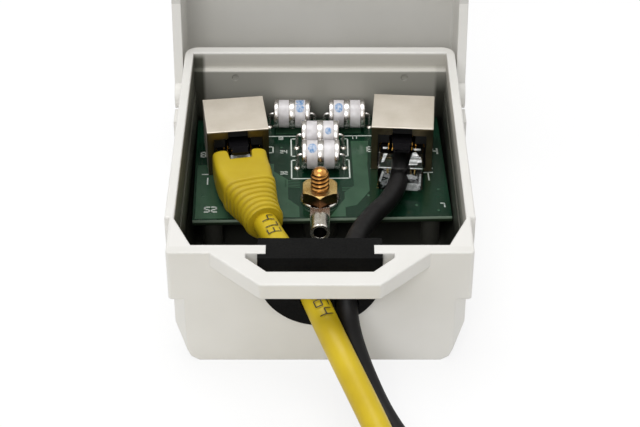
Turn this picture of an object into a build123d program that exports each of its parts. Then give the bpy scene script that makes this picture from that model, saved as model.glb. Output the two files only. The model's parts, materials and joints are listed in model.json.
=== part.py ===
from build123d import *
import os
from math import atan2, cos, pi, radians, sin, sqrt, tan

# Outdoor surge protector for two network leads: a moulded box on its back with the lid swung open,
# a board with two shielded jacks and four gas tubes, a ground stud, and two leads that leave
# through a rubber grommet. Millimetres. +X right, +Y towards the hinge, +Z up from the wall side.
# The origin is the centre of the flat back face.

# Base shell
box_length = 91.4
rim_height = 32.3
floor_thickness = 2.4
front_wall = 3.2
back_wall = 3.2
lower_half_rear = 36.2
lower_taper = 2.0
lower_step_start = 15.5
lower_step_length = 4.5
bottom_inset = 5.4
bottom_bevel_rise = 1.2
bottom_chamfer_inset = 3.5
bottom_chamfer_height = 9.9
lower_corner_chamfer = 2.6
band_height = 13.6
band_step = 0.3
band_taper = 1.2
band_front_length = 13.6
band_corner_radius = 1.0
rim_edge_radius = 0.4
back_corner_radius = 3.5
side_wall = 2.3
rim_corner_reach = 13.4
rim_corner_inset = 4.5
ledge_depth = 4.8
ledge_width = 1.7
dimple_spacing = 46.0
dimple_radius = 0.9
dimple_depth = 0.5
dimple_below_ledge = 2.0

# Guard loop in front of the cable slot
loop_thickness = 4.0
loop_reach = 11.6
loop_outer_root = 25.2
loop_outer_tip = 13.5
loop_bar = 5.0
loop_inner_root = 16.9
loop_inner_tip = 12.0
loop_inner_step = 1.5
loop_tip_radius = 1.2
loop_overlap = 0.5

# Cable slot and grommet
slot_radius = 12.4
slot_centre_drop = 5.9
grommet_lip = 1.9
grommet_front_reach = 1.6
grommet_rear_reach = 2.8
grommet_top_drop = 0.3
cable_hole_clearance = 0.35
cable_hole_run_on = 6.0
slit_width = 0.1

# Board, set back against the ledge
board_side_gap = 0.9
board_thickness = 1.6
board_top = 12.8
board_yaw = 1.6
board_back_gap = 0.2
boss_radius = 3.2
boss_wall = 2.1
boss_overlap = 0.2
screw_from_side = 5.0
screw_from_back = 4.4
screw_shank_radius = 1.4
screw_length = 8.0
screw_head_radius = 2.9
screw_head_height = 2.0
screw_head_round = 0.8
screw_recess = 1.0
screw_recess_width = 0.7
post_radius = 2.5
post_from_front = 3.6
hole_clearance = 0.1

# Wall fixing
wall_screw_spacing = 40.0
wall_screw_radius = 2.25
wall_screw_from_front = 24.0

# Ground stud, nut and ring terminal
stud_radius = 2.4
stud_tip = 9.9
stud_groove = 0.5
stud_groove_lift = 0.15
stud_pitch = 1.45
stud_chamfer = 0.6
nut_across_flats = 8.8
nut_thickness = 3.3
nut_bevel_inset = 0.55
nut_bevel_drop = 4.2
nut_bevel_spread = 4.0
thread_above_nut = 0.5
ring_radius = 5.0
ring_thickness = 0.8
barrel_radius = 2.45
barrel_bore_radius = 1.65
barrel_from_stud = 6.0
barrel_length = 11.5
neck_width = 4.9
neck_chamfer = 1.2
neck_in_ring = 1.2
neck_crown_drop = 0.2
tongue_in_barrel = 0.5
nut_clearance = 0.2

# Jacks, placed by their distance from the board's side and its back edge
jack_width = 16.1
jack_depth = 16.0
jack_height = 13.4
shield_sheet = 0.3
shield_edge_radius = 0.5
left_jack_from_side = 10.7
left_jack_from_back = 18.14
left_jack_yaw = 7.4
right_jack_from_side = 11.0
right_jack_from_back = 16.79
right_jack_yaw = -4.1
plug_width = 11.7
plug_height = 6.6
plug_length = 21.5
plug_inserted = 10.3
plug_lift = 1.6
plug_corner = 0.4
plug_nose_length = 2.4
plug_nose_step = 0.25
plug_bore_end = 12.4
cavity_gap = 0.2
cavity_end_gap = 0.7
latch_channel_width = 6.8
latch_channel_height = 3.0
window_width = 13.2
window_bottom = 0.8
window_top = 11.9
latch_width = 6.0
latch_stem_width = 3.4
latch_thickness = 0.9
latch_rise = 2.0
latch_tab_reach = 6.6
latch_root_length = 3.2
latch_root_sink = 0.3
latch_nose_gap = 0.2
latch_nose_rise = 0.25
latch_hook_start = 4.0
latch_hook_depth = 0.8
contact_pitch = 1.02
contact_count = 8
slot_width = 0.36
slot_from_nose = 0.5
blade_height = 1.9
blade_recess = 0.5
blade_length = 5.4
wire_width = 0.26
wire_thickness = 0.3
wire_start = 2.6
wire_lean = 0.8
wire_end_gap = 1.3

# Gas tubes
tube_radius = 4.0
tube_length = 10.0
cap_length = 1.4
cap_chamfer = 0.4
cap_dish_depth = 0.3
cap_dish_radius = 2.5
ring_length = 1.7
ceramic_drop = 0.22
tube_lift = 0.3
lead_radius = 0.4
lead_offset = 1.2
lead_sunk = 0.5
lead_bend_share = 0.8
lead_below_board = 1.4

# Rows on the board from back to front: two tubes, one tube, one tube, the stud; x of each tube
rear_left_x = -7.6
rear_right_x = 7.3
middle_x = 0.0
front_x = 0.2
rear_middle_gap = 2.3
middle_front_gap = 1.4
front_stud_gap = 5.2
stud_front_margin = 3.1

# Lid
lid_wall = 2.45
lid_panel = 2.4
lid_side_gap = 0.6
lid_front_gap = 1.2
lid_head_gap = 3.6
lid_skirt_bottom = 18.7
lid_nose_bottom = 27.7
lid_back_skirt_bottom = 26.6
lid_back_gap = 0.6
lid_nose_gap = 1.1
lid_corner_radius = 3.0
lid_edge_radius = 1.6
lid_inner_radius = 1.0
lid_open_angle = 100.0
lid_room_before_hinge = 12.0
lid_room_below_panel = 4.0

# Hinge
hinge_from_back = 4.7
hinge_height = 20.3
hinge_pin_radius = 2.0
hinge_pin_root = 1.0
hinge_clearance = 0.06
tab_radius = 4.0
shoulder_from_hinge = 4.3
shoulder_length = 6.4
shoulder_bottom = 6.0
shoulder_foot_rise = 2.0
shoulder_side_rise = 3.4
shoulder_top = 17.9

# Reach of a cutting block past what it cuts, and the slack in picking an edge by its place
past = 1.0
hair = 0.01

# Leads
yellow_diameter = 6.2
black_diameter = 5.0
yellow_coil_radius = 31.5
black_coil_radius = 25.5
coil_lift = 0.8
coil_layers = 2
coil_play = 0.4
tie_width = 9.0
tie_thickness = 0.8
boot_front_width = 14.0
boot_front_height = 9.4
boot_tail_diameter = 9.4
boot_start = 5.7
boot_lead_in = 9.0
boot_rib_count = 7
boot_rib_first = 0.46
boot_rib_last = 0.97
boot_rib_height = 0.5
boot_rib_length = 0.9
boot_notch_width = 6.8
boot_notch_length = 4.6
boot_front_corner = 2.2
boot_tail_roundness = 0.92
boot_taper_start = 0.25
boot_taper_length = 0.65
boot_section_count = 6
far_boot_length = 24.0
far_plug_gap = 0.2
smallest_bend = 4.0
arc_share = 0.45
coil_corner_share = 0.45

front_y = -box_length / 2
back_y = box_length / 2
lower_half_front = lower_half_rear - lower_taper
band_half_rear = lower_half_rear + band_step
band_half_front = band_half_rear - band_taper
band_bottom = rim_height - band_height
hinge_y = back_y - hinge_from_back
hinge_axis = Axis((0, hinge_y, hinge_height), (1, 0, 0))
slot_centre = rim_height - slot_centre_drop
board_bottom = board_top - board_thickness
rear_row = tube_radius
middle_row = rear_row + 2 * tube_radius + rear_middle_gap
front_row = middle_row + 2 * tube_radius + middle_front_gap
stud_row = front_row + tube_radius + front_stud_gap + ring_radius
board_length = stud_row + ring_radius + stud_front_margin
board_width = 2 * (lower_half_rear - side_wall - board_side_gap)
screw_spacing = board_width - 2 * screw_from_side
rim_back_y = back_y - back_wall
inner_back_y = rim_back_y - ledge_width
board_turn = radians(board_yaw)
board_half_reach = board_length / 2 * cos(board_turn) + board_width / 2 * sin(board_turn)
board_centre_y = inner_back_y - board_back_gap - board_half_reach
board_back_y = board_centre_y + board_length / 2
left_jack_place = (left_jack_from_side - board_width / 2, board_back_y - left_jack_from_back)
right_jack_place = (board_width / 2 - right_jack_from_side, board_back_y - right_jack_from_back)
tube_places = {
    "gas_tube_front": (front_x, board_back_y - front_row),
    "gas_tube_middle": (middle_x, board_back_y - middle_row),
    "gas_tube_rear_left": (rear_left_x, board_back_y - rear_row),
    "gas_tube_rear_right": (rear_right_x, board_back_y - rear_row),
}
tube_axis_z = board_top + tube_radius + tube_lift
stud_y = board_back_y - stud_row
ring_top = board_top + ring_thickness
shoulder_end = hinge_y - shoulder_from_hinge
shoulder_start = shoulder_end - shoulder_length

# The routes of the two leads, from the plug in the box to the coil, and from the coil to the far plug
yellow_route = [
    (-13.5, -16.7, 19.0),
    (-10.4, -25.9, 19.3),
    (-4.3, -37.7, slot_centre - 5.7),
    (0.0, -50.7, slot_centre - 7.0),
    (4.5, -62.5, 17.0),
    (12.2, -76.9, 8.8),
    (18.3, -91.2, 3.6),
    (23.2, -106.4, 3.5),
    (24.2, -122.8, 3.9),
]
yellow_tail_route = [
    (-38.8, -122.8, 10.1),
    (-38.8, -113.7, 10.6),
    (-28.1, -99.0, 12.0),
    (-10.8, -93.4, 13.6),
    (6.5, -99.0, 15.6),
    (17.2, -113.7, 17.8),
    (17.2, -122.8, 18.6),
]
black_route = [
    (21.28, 12.83, 17.7),
    (20.66, 4.2, 17.7),
    (17.8, -5.2, 17.8),
    (12.6, -13.2, 18.6),
    (8.3, -25.2, 20.5),
    (6.2, -38.2, slot_centre - 4.3),
    (6.1, -51.7, slot_centre - 9.0),
    (9.5, -60.3, 10.3),
    (15.6, -72.2, 3.3),
    (24.8, -87.7, 2.8),
    (33.4, -101.7, 2.8),
    (37.6, -117.7, 3.0),
    (38.4, -134.2, 3.2),
    (37.6, -153.0, 3.2),
    (36.0, -174.0, 3.3),
    (35.4, -196.0, 3.3),
]
black_tail_route = [
    (-15.6, -196.0, 8.3),
    (-15.6, -189.8, 9.2),
    (-9.4, -179.2, 11.2),
    (1.2, -173.0, 13.4),
    (7.4, -173.0, 14.3),
]


def prism_up(points, bottom, top):
    """Upright prism on a plan outline."""
    return Pos(0, 0, bottom) * extrude(make_face(Polyline(*points, close=True)), top - bottom)


def prism_across(points, half_width):
    """Prism on a side outline of (y, z) points, centred on the plane x = 0."""
    outline = make_face(Polyline(*[(0, y, z) for y, z in points], close=True))
    return extrude(outline, half_width, both=True)


def prism_back(points, start, end):
    """Prism on a front outline of (x, z) points, from one y to another."""
    face = make_face(Polyline(*[(x, start, z) for x, z in points], close=True))
    return extrude(face, end - start, dir=(0, 1, 0))


def rod(radius, bottom, top, x=0.0, y=0.0):
    return Pos(x, y, (bottom + top) / 2) * Cylinder(radius, top - bottom)


def block(low, high):
    size = [h - l for l, h in zip(low, high)]
    centre = [(l + h) / 2 for l, h in zip(low, high)]
    return Pos(*centre) * Box(*size)


def mirrored(points):
    """Closes a right-hand outline, listed from front to back, with its mirror image."""
    return list(points) + [(-x, y) for x, y in reversed(points)]


# Base shell

def lower_section(half, inset, bottom):
    """Front outline of the lower body: flat bottom, shallow bevel, steep chamfer, upright side."""
    lean = atan2(bottom_chamfer_inset, bottom_chamfer_height - bottom_bevel_rise)
    slant = inset / cos(lean) if inset else 0.0
    foot = half - bottom_inset
    knee = half - bottom_chamfer_inset
    slope = bottom_chamfer_inset / (bottom_chamfer_height - bottom_bevel_rise)
    side = half - inset
    if inset:
        start = knee + (bottom - bottom_bevel_rise) * slope - slant
        turn = bottom + (side - start) / slope
        right = [(start, bottom), (side, turn), (side, rim_height)]
    else:
        right = [(foot, 0), (knee, bottom_bevel_rise), (half, bottom_chamfer_height), (half, rim_height)]
    return right + [(-x, z) for x, z in reversed(right)]


def lower_body(inset, bottom, start, end):
    """Narrow front part, short widening part and wide rear part, along Y."""
    narrow = lower_section(lower_half_front, inset, bottom)
    wide = lower_section(lower_half_rear, inset, bottom)
    step_start = front_y + lower_step_start
    step_end = step_start + lower_step_length
    front = prism_back(narrow, start, step_start)
    faces = [
        make_face(Polyline(*[(x, y, z) for x, z in outline], close=True))
        for outline, y in ((narrow, step_start), (wide, step_end))
    ]
    return front + loft(faces) + prism_back(wide, step_end, end)


def rounded_plan(right_points, radius, corner_y):
    """Plan outline whose two rear corners are rounded."""
    face = make_face(Polyline(*mirrored(right_points), close=True))
    corners = [v for v in face.vertices() if abs(v.Y - corner_y) < hair]
    return fillet(corners, radius)


def loop_outline():
    inner_y = front_y - loop_reach + loop_bar
    root_y = front_y + loop_overlap
    outer = [(loop_outer_root, root_y), (loop_outer_root, front_y), (loop_outer_tip, front_y - loop_reach)]
    inner = [
        (loop_inner_root, root_y),
        (loop_inner_root, front_y - loop_inner_step),
        (loop_inner_tip, inner_y),
    ]
    return outer, inner


def slot_plug(radius, start, end, top):
    """The slot's form: a half round below two upright sides."""
    ball = Pos(0, (start + end) / 2, slot_centre) * Rot(90, 0, 0) * Cylinder(radius, end - start)
    lower = ball & block((-radius, start, slot_centre - radius), (radius, end, slot_centre))
    return lower + block((-radius, start, slot_centre), (radius, end, top))


def guard_loop():
    outer, inner = loop_outline()
    bottom = rim_height - loop_thickness
    hole = prism_up(mirrored(inner), bottom - past, rim_height + past)
    ring = prism_up(mirrored(outer), bottom, rim_height) - hole
    tips = [e for e in ring.edges().filter_by(Axis.Z) if e.center().Y < front_y - loop_reach + hair]
    return fillet(tips, loop_tip_radius)


def board_point(x, y):
    """A point of the board's own plan, turned with the board."""
    across, along = cos(board_turn), sin(board_turn)
    return (x * across - y * along, board_centre_y + x * along + y * across)


def screw_points():
    back = board_length / 2 - screw_from_back
    return [board_point(side * screw_spacing / 2, back) for side in (-1, 1)]


def post_points():
    front = -board_length / 2 + post_from_front
    return [board_point(side * screw_spacing / 2, front) for side in (-1, 1)]


def mouth_plan(rear):
    """Plan of the inside at the rim, narrowed at its front corners."""
    half = band_half_rear - side_wall
    corner = (half - rim_corner_inset, front_y + front_wall)
    return mirrored([corner, (half, front_y + rim_corner_reach), (half, rear)])


def make_base():
    corner = lower_corner_chamfer
    plan = rounded_plan(
        [
            (lower_half_front - corner, front_y),
            (lower_half_front, front_y + corner),
            (lower_half_front, front_y + lower_step_start),
            (lower_half_rear, front_y + lower_step_start + lower_step_length),
            (lower_half_rear, back_y),
        ],
        back_corner_radius,
        back_y,
    )
    shell = lower_body(0, 0, front_y, back_y) & extrude(plan, rim_height)
    band_plan = rounded_plan(
        [
            (band_half_front, front_y),
            (band_half_front, front_y + band_front_length),
            (band_half_rear, front_y + band_front_length),
            (band_half_rear, back_y),
        ],
        back_corner_radius,
        back_y,
    )
    front_corners = [v for v in band_plan.vertices() if abs(v.Y - front_y) < hair]
    band = Pos(0, 0, band_bottom) * extrude(fillet(front_corners, band_corner_radius), band_height)
    shell = shell + band + guard_loop()

    inner_front = front_y + front_wall
    over = rim_height + past
    deep = lower_body(side_wall, floor_thickness, inner_front, inner_back_y)
    deep = deep & prism_up(mouth_plan(inner_back_y), 0, over)
    mouth = prism_up(mouth_plan(inner_back_y), band_bottom + side_wall, over)
    ledge = prism_up(mouth_plan(rim_back_y), rim_height - ledge_depth, over)
    slot = slot_plug(slot_radius, front_y - hair, inner_front + hair, over)
    shell = shell - deep - mouth - ledge - slot
    rim_edges = [e for e in shell.edges().group_by(Axis.Z)[-1] if not on_slot(e)]
    return fillet(rim_edges, rim_edge_radius)


def on_slot(edge):
    """Edges beside the cable slot stay sharp, as the grommet fills it."""
    middle = edge.center()
    in_wall = front_y - hair < middle.Y < front_y + front_wall + hair
    return in_wall and abs(middle.X) < slot_radius + hair


def add_bosses(shell):
    root = floor_thickness - boss_overlap
    over = board_bottom + past
    for x, y in screw_points():
        shell = shell + rod(boss_radius, root, board_bottom, x, y)
        shell = shell - rod(screw_shank_radius, board_top - screw_length, over, x, y)
    for x, y in post_points():
        shell = shell + rod(post_radius, root, board_bottom, x, y)
    shell = shell + rod(stud_radius + boss_wall, root, board_bottom, 0, stud_y)
    shell = shell - rod(stud_radius, floor_thickness, over, 0, stud_y)
    hole_y = front_y + wall_screw_from_front
    dimple = Rot(90, 0, 0) * Cylinder(dimple_radius, 2 * dimple_depth)
    dimple_z = rim_height - ledge_depth - dimple_below_ledge
    for side in (-1, 1):
        x = side * wall_screw_spacing / 2
        shell = shell - rod(wall_screw_radius, -past, floor_thickness + past, x, hole_y)
        shell = shell - Pos(side * dimple_spacing / 2, inner_back_y, dimple_z) * dimple
    return shell


def add_hinge(shell):
    """Round pins on the sides, and the shoulder blocks in front of them that the lid closes over."""
    lid_outer = lid_half() + lid_wall
    length = lid_outer - band_half_rear + hinge_pin_root
    pin = Rot(0, 90, 0) * Cylinder(hinge_pin_radius, length)
    inside = lower_half_rear - hinge_pin_root
    for side in (-1, 1):
        shell = shell + Pos(side * (lid_outer - length / 2), hinge_y, hinge_height) * pin
        outline = [
            (side * inside, shoulder_bottom + shoulder_foot_rise),
            (side * lower_half_rear, shoulder_bottom),
            (side * lid_outer, shoulder_bottom + shoulder_side_rise),
            (side * lid_outer, shoulder_top),
            (side * inside, shoulder_top),
        ]
        shell = shell + prism_back(outline, shoulder_start, shoulder_end)
    return shell


# Lid, drawn closed over the rim and then swung open about the hinge

def lid_half():
    return band_half_rear + lid_side_gap


def lid_plan(grow):
    """Plan of the lid's inside, with a nose round the guard loop; grow moves it outwards."""
    half = lid_half() + grow
    front = front_y - lid_front_gap - grow
    nose = front_y - loop_reach - lid_nose_gap - grow
    lean = atan2(loop_outer_root - loop_outer_tip, loop_reach)
    shift = (lid_nose_gap + grow) / cos(lean)
    slope = (loop_outer_root - loop_outer_tip) / loop_reach
    root = loop_outer_root + shift - (front_y - front) * slope
    tip = loop_outer_root + shift - (front_y - nose) * slope
    back = back_y + lid_back_gap + grow
    return [(tip, nose), (root, front), (half, front), (half, back)]


def make_lid():
    panel_inner = rim_height + lid_head_gap
    panel_outer = panel_inner + lid_panel
    outer_plan = make_face(Polyline(*mirrored(lid_plan(lid_wall)), close=True))
    corners = [v for v in outer_plan.vertices() if abs(v.X) > lid_half()]
    outer = extrude(fillet(corners, lid_corner_radius), panel_outer - lid_skirt_bottom)
    outer = Pos(0, 0, lid_skirt_bottom) * outer
    outer = fillet(outer.edges().group_by(Axis.Z)[-1], lid_edge_radius)
    inner_plan = make_face(Polyline(*mirrored(lid_plan(0)), close=True))
    inner = Pos(0, 0, lid_skirt_bottom - past) * extrude(inner_plan, panel_inner - lid_skirt_bottom + past)
    inner = fillet(inner.edges().group_by(Axis.Z)[-1], lid_inner_radius)
    lid = outer - inner
    wide = lid_half() + lid_wall + past
    nose_half = loop_outer_root + lid_nose_gap + lid_wall + past
    nose_front = front_y - loop_reach - lid_nose_gap - lid_wall - past
    lid = lid - block((-nose_half, nose_front, 0), (nose_half, front_y + front_wall, lid_nose_bottom))
    rear_cut_y = hinge_y + tab_radius
    far_back = back_y + lid_back_gap + lid_wall + past
    lid = lid - block((-wide, rear_cut_y, 0), (wide, far_back, lid_back_skirt_bottom))
    room = lid_half() - hair
    room_front = hinge_y - lid_room_before_hinge
    room_top = panel_inner - lid_room_below_panel
    lid = lid - block((-room, room_front, 0), (room, rear_cut_y + past, room_top))
    for side in (-1, 1):
        middle = Pos(side * (lid_half() + lid_wall / 2), hinge_y, hinge_height)
        place = middle * Rot(0, 90, 0)
        tab = place * Cylinder(tab_radius, lid_wall)
        web_rise = lid_back_skirt_bottom - hinge_height
        web = middle * block((-lid_wall / 2, -tab_radius, 0), (lid_wall / 2, tab_radius, web_rise))
        xs = sorted((side * (lid_half() - past), side * wide))
        below = block((xs[0], hinge_y, lid_skirt_bottom - past), (xs[1], rear_cut_y + past, hinge_height))
        lid = lid - below
        lid = lid + tab + web - place * Cylinder(hinge_pin_radius + hinge_clearance, lid_wall + past)
    return lid.rotate(hinge_axis, -lid_open_angle)


# Grommet

def route_hole(route, index, radius):
    """Round hole along one run of a lead's route, run on past both ends."""
    start, end = Vector(*route[index]), Vector(*route[index + 1])
    way = (end - start).normalized()
    begin = start - way * cable_hole_run_on
    plane = Plane(origin=begin, z_dir=way)
    return extrude(plane * Circle(radius), (end - start).length + 2 * cable_hole_run_on)


def make_grommet():
    top = rim_height - grommet_top_drop
    inner_front = front_y + front_wall
    flange = slot_radius + grommet_lip
    body = slot_plug(slot_radius, front_y - grommet_front_reach, inner_front + grommet_rear_reach, top)
    body = body + slot_plug(flange, front_y - grommet_front_reach, front_y, top)
    body = body + slot_plug(flange, inner_front, inner_front + grommet_rear_reach, top)
    slit_front = front_y - grommet_front_reach - past
    slit_back = inner_front + grommet_rear_reach + past
    for route, index, diameter in ((yellow_route, 2, yellow_diameter), (black_route, 5, black_diameter)):
        body = body - route_hole(route, index, diameter / 2 + cable_hole_clearance)
        x_mid = (route[index][0] + route[index + 1][0]) / 2
        z_mid = (route[index][2] + route[index + 1][2]) / 2
        half = slit_width / 2
        body = body - block((x_mid - half, slit_front, z_mid), (x_mid + half, slit_back, top + past))
    return body


# Board and what is on it

def make_board():
    board = Box(board_width, board_length, board_thickness)
    board = Pos(0, board_centre_y, board_top - board_thickness / 2) * Rot(0, 0, board_yaw) * board
    over = board_top + past
    for x, y in screw_points():
        board = board - rod(screw_shank_radius + hole_clearance, 0, over, x, y)
    board = board - rod(stud_radius + hole_clearance, 0, over, 0, stud_y)
    for x, y in tube_places.values():
        for offset in lead_offsets():
            board = board - rod(lead_radius + hole_clearance, 0, over, x + offset, y)
    return board


def make_screws():
    screws = []
    cross = Box(screw_head_radius, screw_recess_width, 2 * screw_recess)
    cross = cross + Box(screw_recess_width, screw_head_radius, 2 * screw_recess)
    for x, y in screw_points():
        head = rod(screw_head_radius, board_top, board_top + screw_head_height, x, y)
        head = fillet(head.edges().group_by(Axis.Z)[-1], screw_head_round)
        head = head - Pos(x, y, board_top + screw_head_height) * cross
        screws.append(head + rod(screw_shank_radius, board_top - screw_length, board_top, x, y))
    return Compound(children=screws)


def make_stud():
    """Stud with round-bottomed grooves that stand for its coarse thread."""
    top = board_top + stud_tip
    stud = rod(stud_radius, floor_thickness, top, 0, stud_y)
    stud = chamfer(stud.edges().group_by(Axis.Z)[-1], stud_chamfer)
    groove = Torus(stud_radius + stud_groove_lift, stud_groove)
    groove_bottom = ring_top + nut_thickness + thread_above_nut + stud_pitch / 2
    count = int((top - stud_chamfer - groove_bottom) / stud_pitch) + 1
    for turn in range(count):
        stud = stud - Pos(0, stud_y, groove_bottom + turn * stud_pitch) * groove
    return stud


def make_nut():
    """Hexagon nut, bevelled at its top corners by a cone."""
    top = ring_top + nut_thickness
    corner_radius = nut_across_flats / sqrt(3)
    hexagon = RegularPolygon(corner_radius, 6, rotation=30)
    prism = Pos(0, stud_y, ring_top) * extrude(hexagon, nut_thickness)
    from_top = (Align.CENTER, Align.CENTER, Align.MAX)
    wide = corner_radius + nut_bevel_spread
    cone = Cone(wide, corner_radius - nut_bevel_inset, nut_bevel_drop, align=from_top)
    nut = prism & Pos(0, stud_y, top) * cone
    return nut - rod(stud_radius, ring_top - past, top + past, 0, stud_y)


def make_ring_terminal():
    """Flat ring with an empty crimp barrel, joined by a neck that rises to the barrel's crown."""
    ring = rod(ring_radius, board_top, ring_top, 0, stud_y)
    near = stud_y - barrel_from_stud
    far = near - barrel_length
    axis_z = board_top + barrel_radius
    half = neck_width / 2
    neck_start = stud_y - ring_radius + neck_in_ring
    tongue = block((-half, near - tongue_in_barrel, board_top), (half, neck_start, ring_top))
    crown = axis_z + barrel_radius - neck_crown_drop
    wedge = [(neck_start, board_top), (neck_start, ring_top), (near, crown), (near, board_top)]
    neck = prism_across(wedge, half)
    sloped = [e for e in neck.edges() if abs(e.center().X) > half / 2 and e.length > neck_width / 2]
    sloped = [e for e in sloped if e.center().Z > (ring_top + crown) / 2 - hair]
    neck = chamfer(sloped, neck_chamfer)
    along = Pos(0, (near + far) / 2, axis_z) * Rot(90, 0, 0)
    barrel = along * Cylinder(barrel_radius, barrel_length)
    bore = along * Cylinder(barrel_bore_radius, barrel_length)
    nut_room = rod(nut_across_flats / sqrt(3) + nut_clearance, ring_top, ring_top + nut_thickness, 0, stud_y)
    terminal = ring + tongue + (neck - nut_room) + barrel - bore
    return terminal - rod(stud_radius, board_top - past, ring_top + past, 0, stud_y)


def lead_offsets():
    end = tube_length / 2 + lead_offset
    return (-end, 0.0, end)


def make_gas_tube(x, y):
    """Three electrodes and two ceramic sleeves on one axis along X, with a lead from each electrode."""
    half = tube_length / 2
    ceramic = tube_radius - ceramic_drop
    cap_start = half - cap_length
    ring_half = ring_length / 2
    right = [
        (0, tube_radius), (ring_half, tube_radius), (ring_half, ceramic), (cap_start, ceramic),
        (cap_start, tube_radius), (half - cap_chamfer, tube_radius), (half, tube_radius - cap_chamfer),
        (half, cap_dish_radius + cap_dish_depth), (half - cap_dish_depth, cap_dish_radius),
        (half - cap_dish_depth, 0),
    ]
    outline = [(px, 0, pz) for px, pz in right] + [(-px, 0, pz) for px, pz in reversed(right)][:-1]
    tube = revolve(make_face(Polyline(*outline, close=True)), Axis.X)
    drop = tube_axis_z - (board_bottom - lead_below_board)
    end = half + lead_offset
    for side in (-1, 1):
        start = (side * (half - lead_sunk), 0, 0)
        corners = [start, (side * end, 0, 0), (side * end, 0, -drop)]
        path = FilletPolyline(*corners, radius=lead_offset * lead_bend_share)
        lead = sweep(Plane(origin=start, z_dir=(side, 0, 0)) * Circle(lead_radius), path=path)
        tube = tube + lead
    tube = tube + rod(lead_radius, -drop, -ceramic)
    return Pos(x, y, tube_axis_z) * tube


# Jacks and plugs share a frame: origin on the board at the middle of the jack's face, +Y into the jack

def jack_location(place, yaw):
    turn = radians(yaw)
    x = place[0] + jack_depth / 2 * sin(turn)
    y = place[1] - jack_depth / 2 * cos(turn)
    return Location((x, y, board_top), (0, 0, yaw))


def cavity():
    half = plug_width / 2 + cavity_gap
    bottom = plug_lift - cavity_gap
    top = plug_lift + plug_height + cavity_gap
    depth = plug_inserted + cavity_end_gap
    hole = block((-half, -past, bottom), (half, depth, top))
    channel_half = latch_channel_width / 2
    channel_top = top + latch_channel_height
    return hole + block((-channel_half, -past, top - past), (channel_half, depth, channel_top))


def make_shield():
    half = jack_width / 2
    inner = half - shield_sheet
    box = block((-half, 0, 0), (half, jack_depth, jack_height))
    top_edges = [e for e in box.edges() if e.center().Z > jack_height - hair]
    box = fillet(top_edges, shield_edge_radius)
    inner_high = (inner, jack_depth - shield_sheet, jack_height - shield_sheet)
    inside = block((-inner, shield_sheet, -past), inner_high)
    window_half = window_width / 2
    window = block((-window_half, -past, window_bottom), (window_half, shield_sheet + past, window_top))
    return box - inside - window


def make_housing():
    inner = jack_width / 2 - shield_sheet
    body = block((-inner, shield_sheet, 0), (inner, jack_depth - shield_sheet, jack_height - shield_sheet))
    return body - cavity()


def contact_places():
    first = -(contact_count - 1) / 2
    return [(first + i) * contact_pitch for i in range(contact_count)]


def make_jack_contacts():
    floor_z = plug_lift - cavity_gap
    blade_z = plug_lift + blade_recess
    tip = plug_inserted - wire_end_gap
    profile = [
        (wire_start, floor_z), (tip, blade_z), (tip, blade_z - wire_thickness),
        (wire_start + wire_lean, floor_z),
    ]
    wires = [Pos(x, 0, 0) * prism_across(profile, wire_width / 2) for x in contact_places()]
    return Compound(children=wires)


def contact_slot(x, bottom, top):
    end = plug_inserted - slot_from_nose
    return block((x - slot_width / 2, end - blade_length, bottom), (x + slot_width / 2, end, top))


def make_plug_body(cable_bore):
    """Clear plug with its latch; the nose points to +Y and the lead comes in at the other end."""
    rear = plug_inserted - plug_length
    top = plug_lift + plug_height
    half = plug_width / 2
    body = block((-half, rear, plug_lift), (half, plug_inserted, top))
    body = chamfer(body.edges().filter_by(Axis.Y), plug_corner)
    step_low = (-half - past, plug_inserted - plug_nose_length, plug_lift - past)
    step_high = (half + past, plug_inserted + past, plug_lift + plug_nose_step)
    body = body - block(step_low, step_high)
    high = top + latch_rise
    tab = -latch_tab_reach
    tip = plug_inserted - latch_nose_gap
    root = plug_inserted - latch_root_length
    low = top + latch_nose_rise
    sunk = top - latch_root_sink
    stem = [
        (tip - latch_root_sink, sunk), (tip, low), (tab, high + latch_thickness), (tab, high), (root, low),
        (root, sunk),
    ]
    slope = (high + latch_thickness - low) / (tip - tab)
    hook_top = low + (tip - latch_hook_start) * slope
    hook = [
        (latch_hook_start, hook_top), (latch_hook_start, hook_top - latch_hook_depth), (tab, high),
        (tab, high + latch_thickness),
    ]
    body = body + prism_across(stem, latch_stem_width / 2) + prism_across(hook, latch_width / 2)
    for x in contact_places():
        body = body - contact_slot(x, plug_lift - past, plug_lift + blade_recess + blade_height)
    if cable_bore:
        depth = plug_length - plug_bore_end
        hole = Rot(90, 0, 0) * Cylinder(cable_bore / 2, depth + past)
        body = body - Pos(0, rear + (depth - past) / 2, plug_lift + plug_height / 2) * hole
    return body


def make_plug_contacts():
    bottom = plug_lift + blade_recess
    return Compound(children=[contact_slot(x, bottom, bottom + blade_height) for x in contact_places()])


def boot_section(share):
    """Width, height and corner radius of the boot at a share of its length."""
    blend = min(max((share - boot_taper_start) / boot_taper_length, 0.0), 1.0)
    ease = blend * blend * (3 - 2 * blend)
    width = boot_front_width + (boot_tail_diameter - boot_front_width) * ease
    height = boot_front_height + (boot_tail_diameter - boot_front_height) * ease
    tail_corner = boot_tail_diameter / 2 * boot_tail_roundness
    corner = boot_front_corner + (tail_corner - boot_front_corner) * ease
    return width, height, corner


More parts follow.
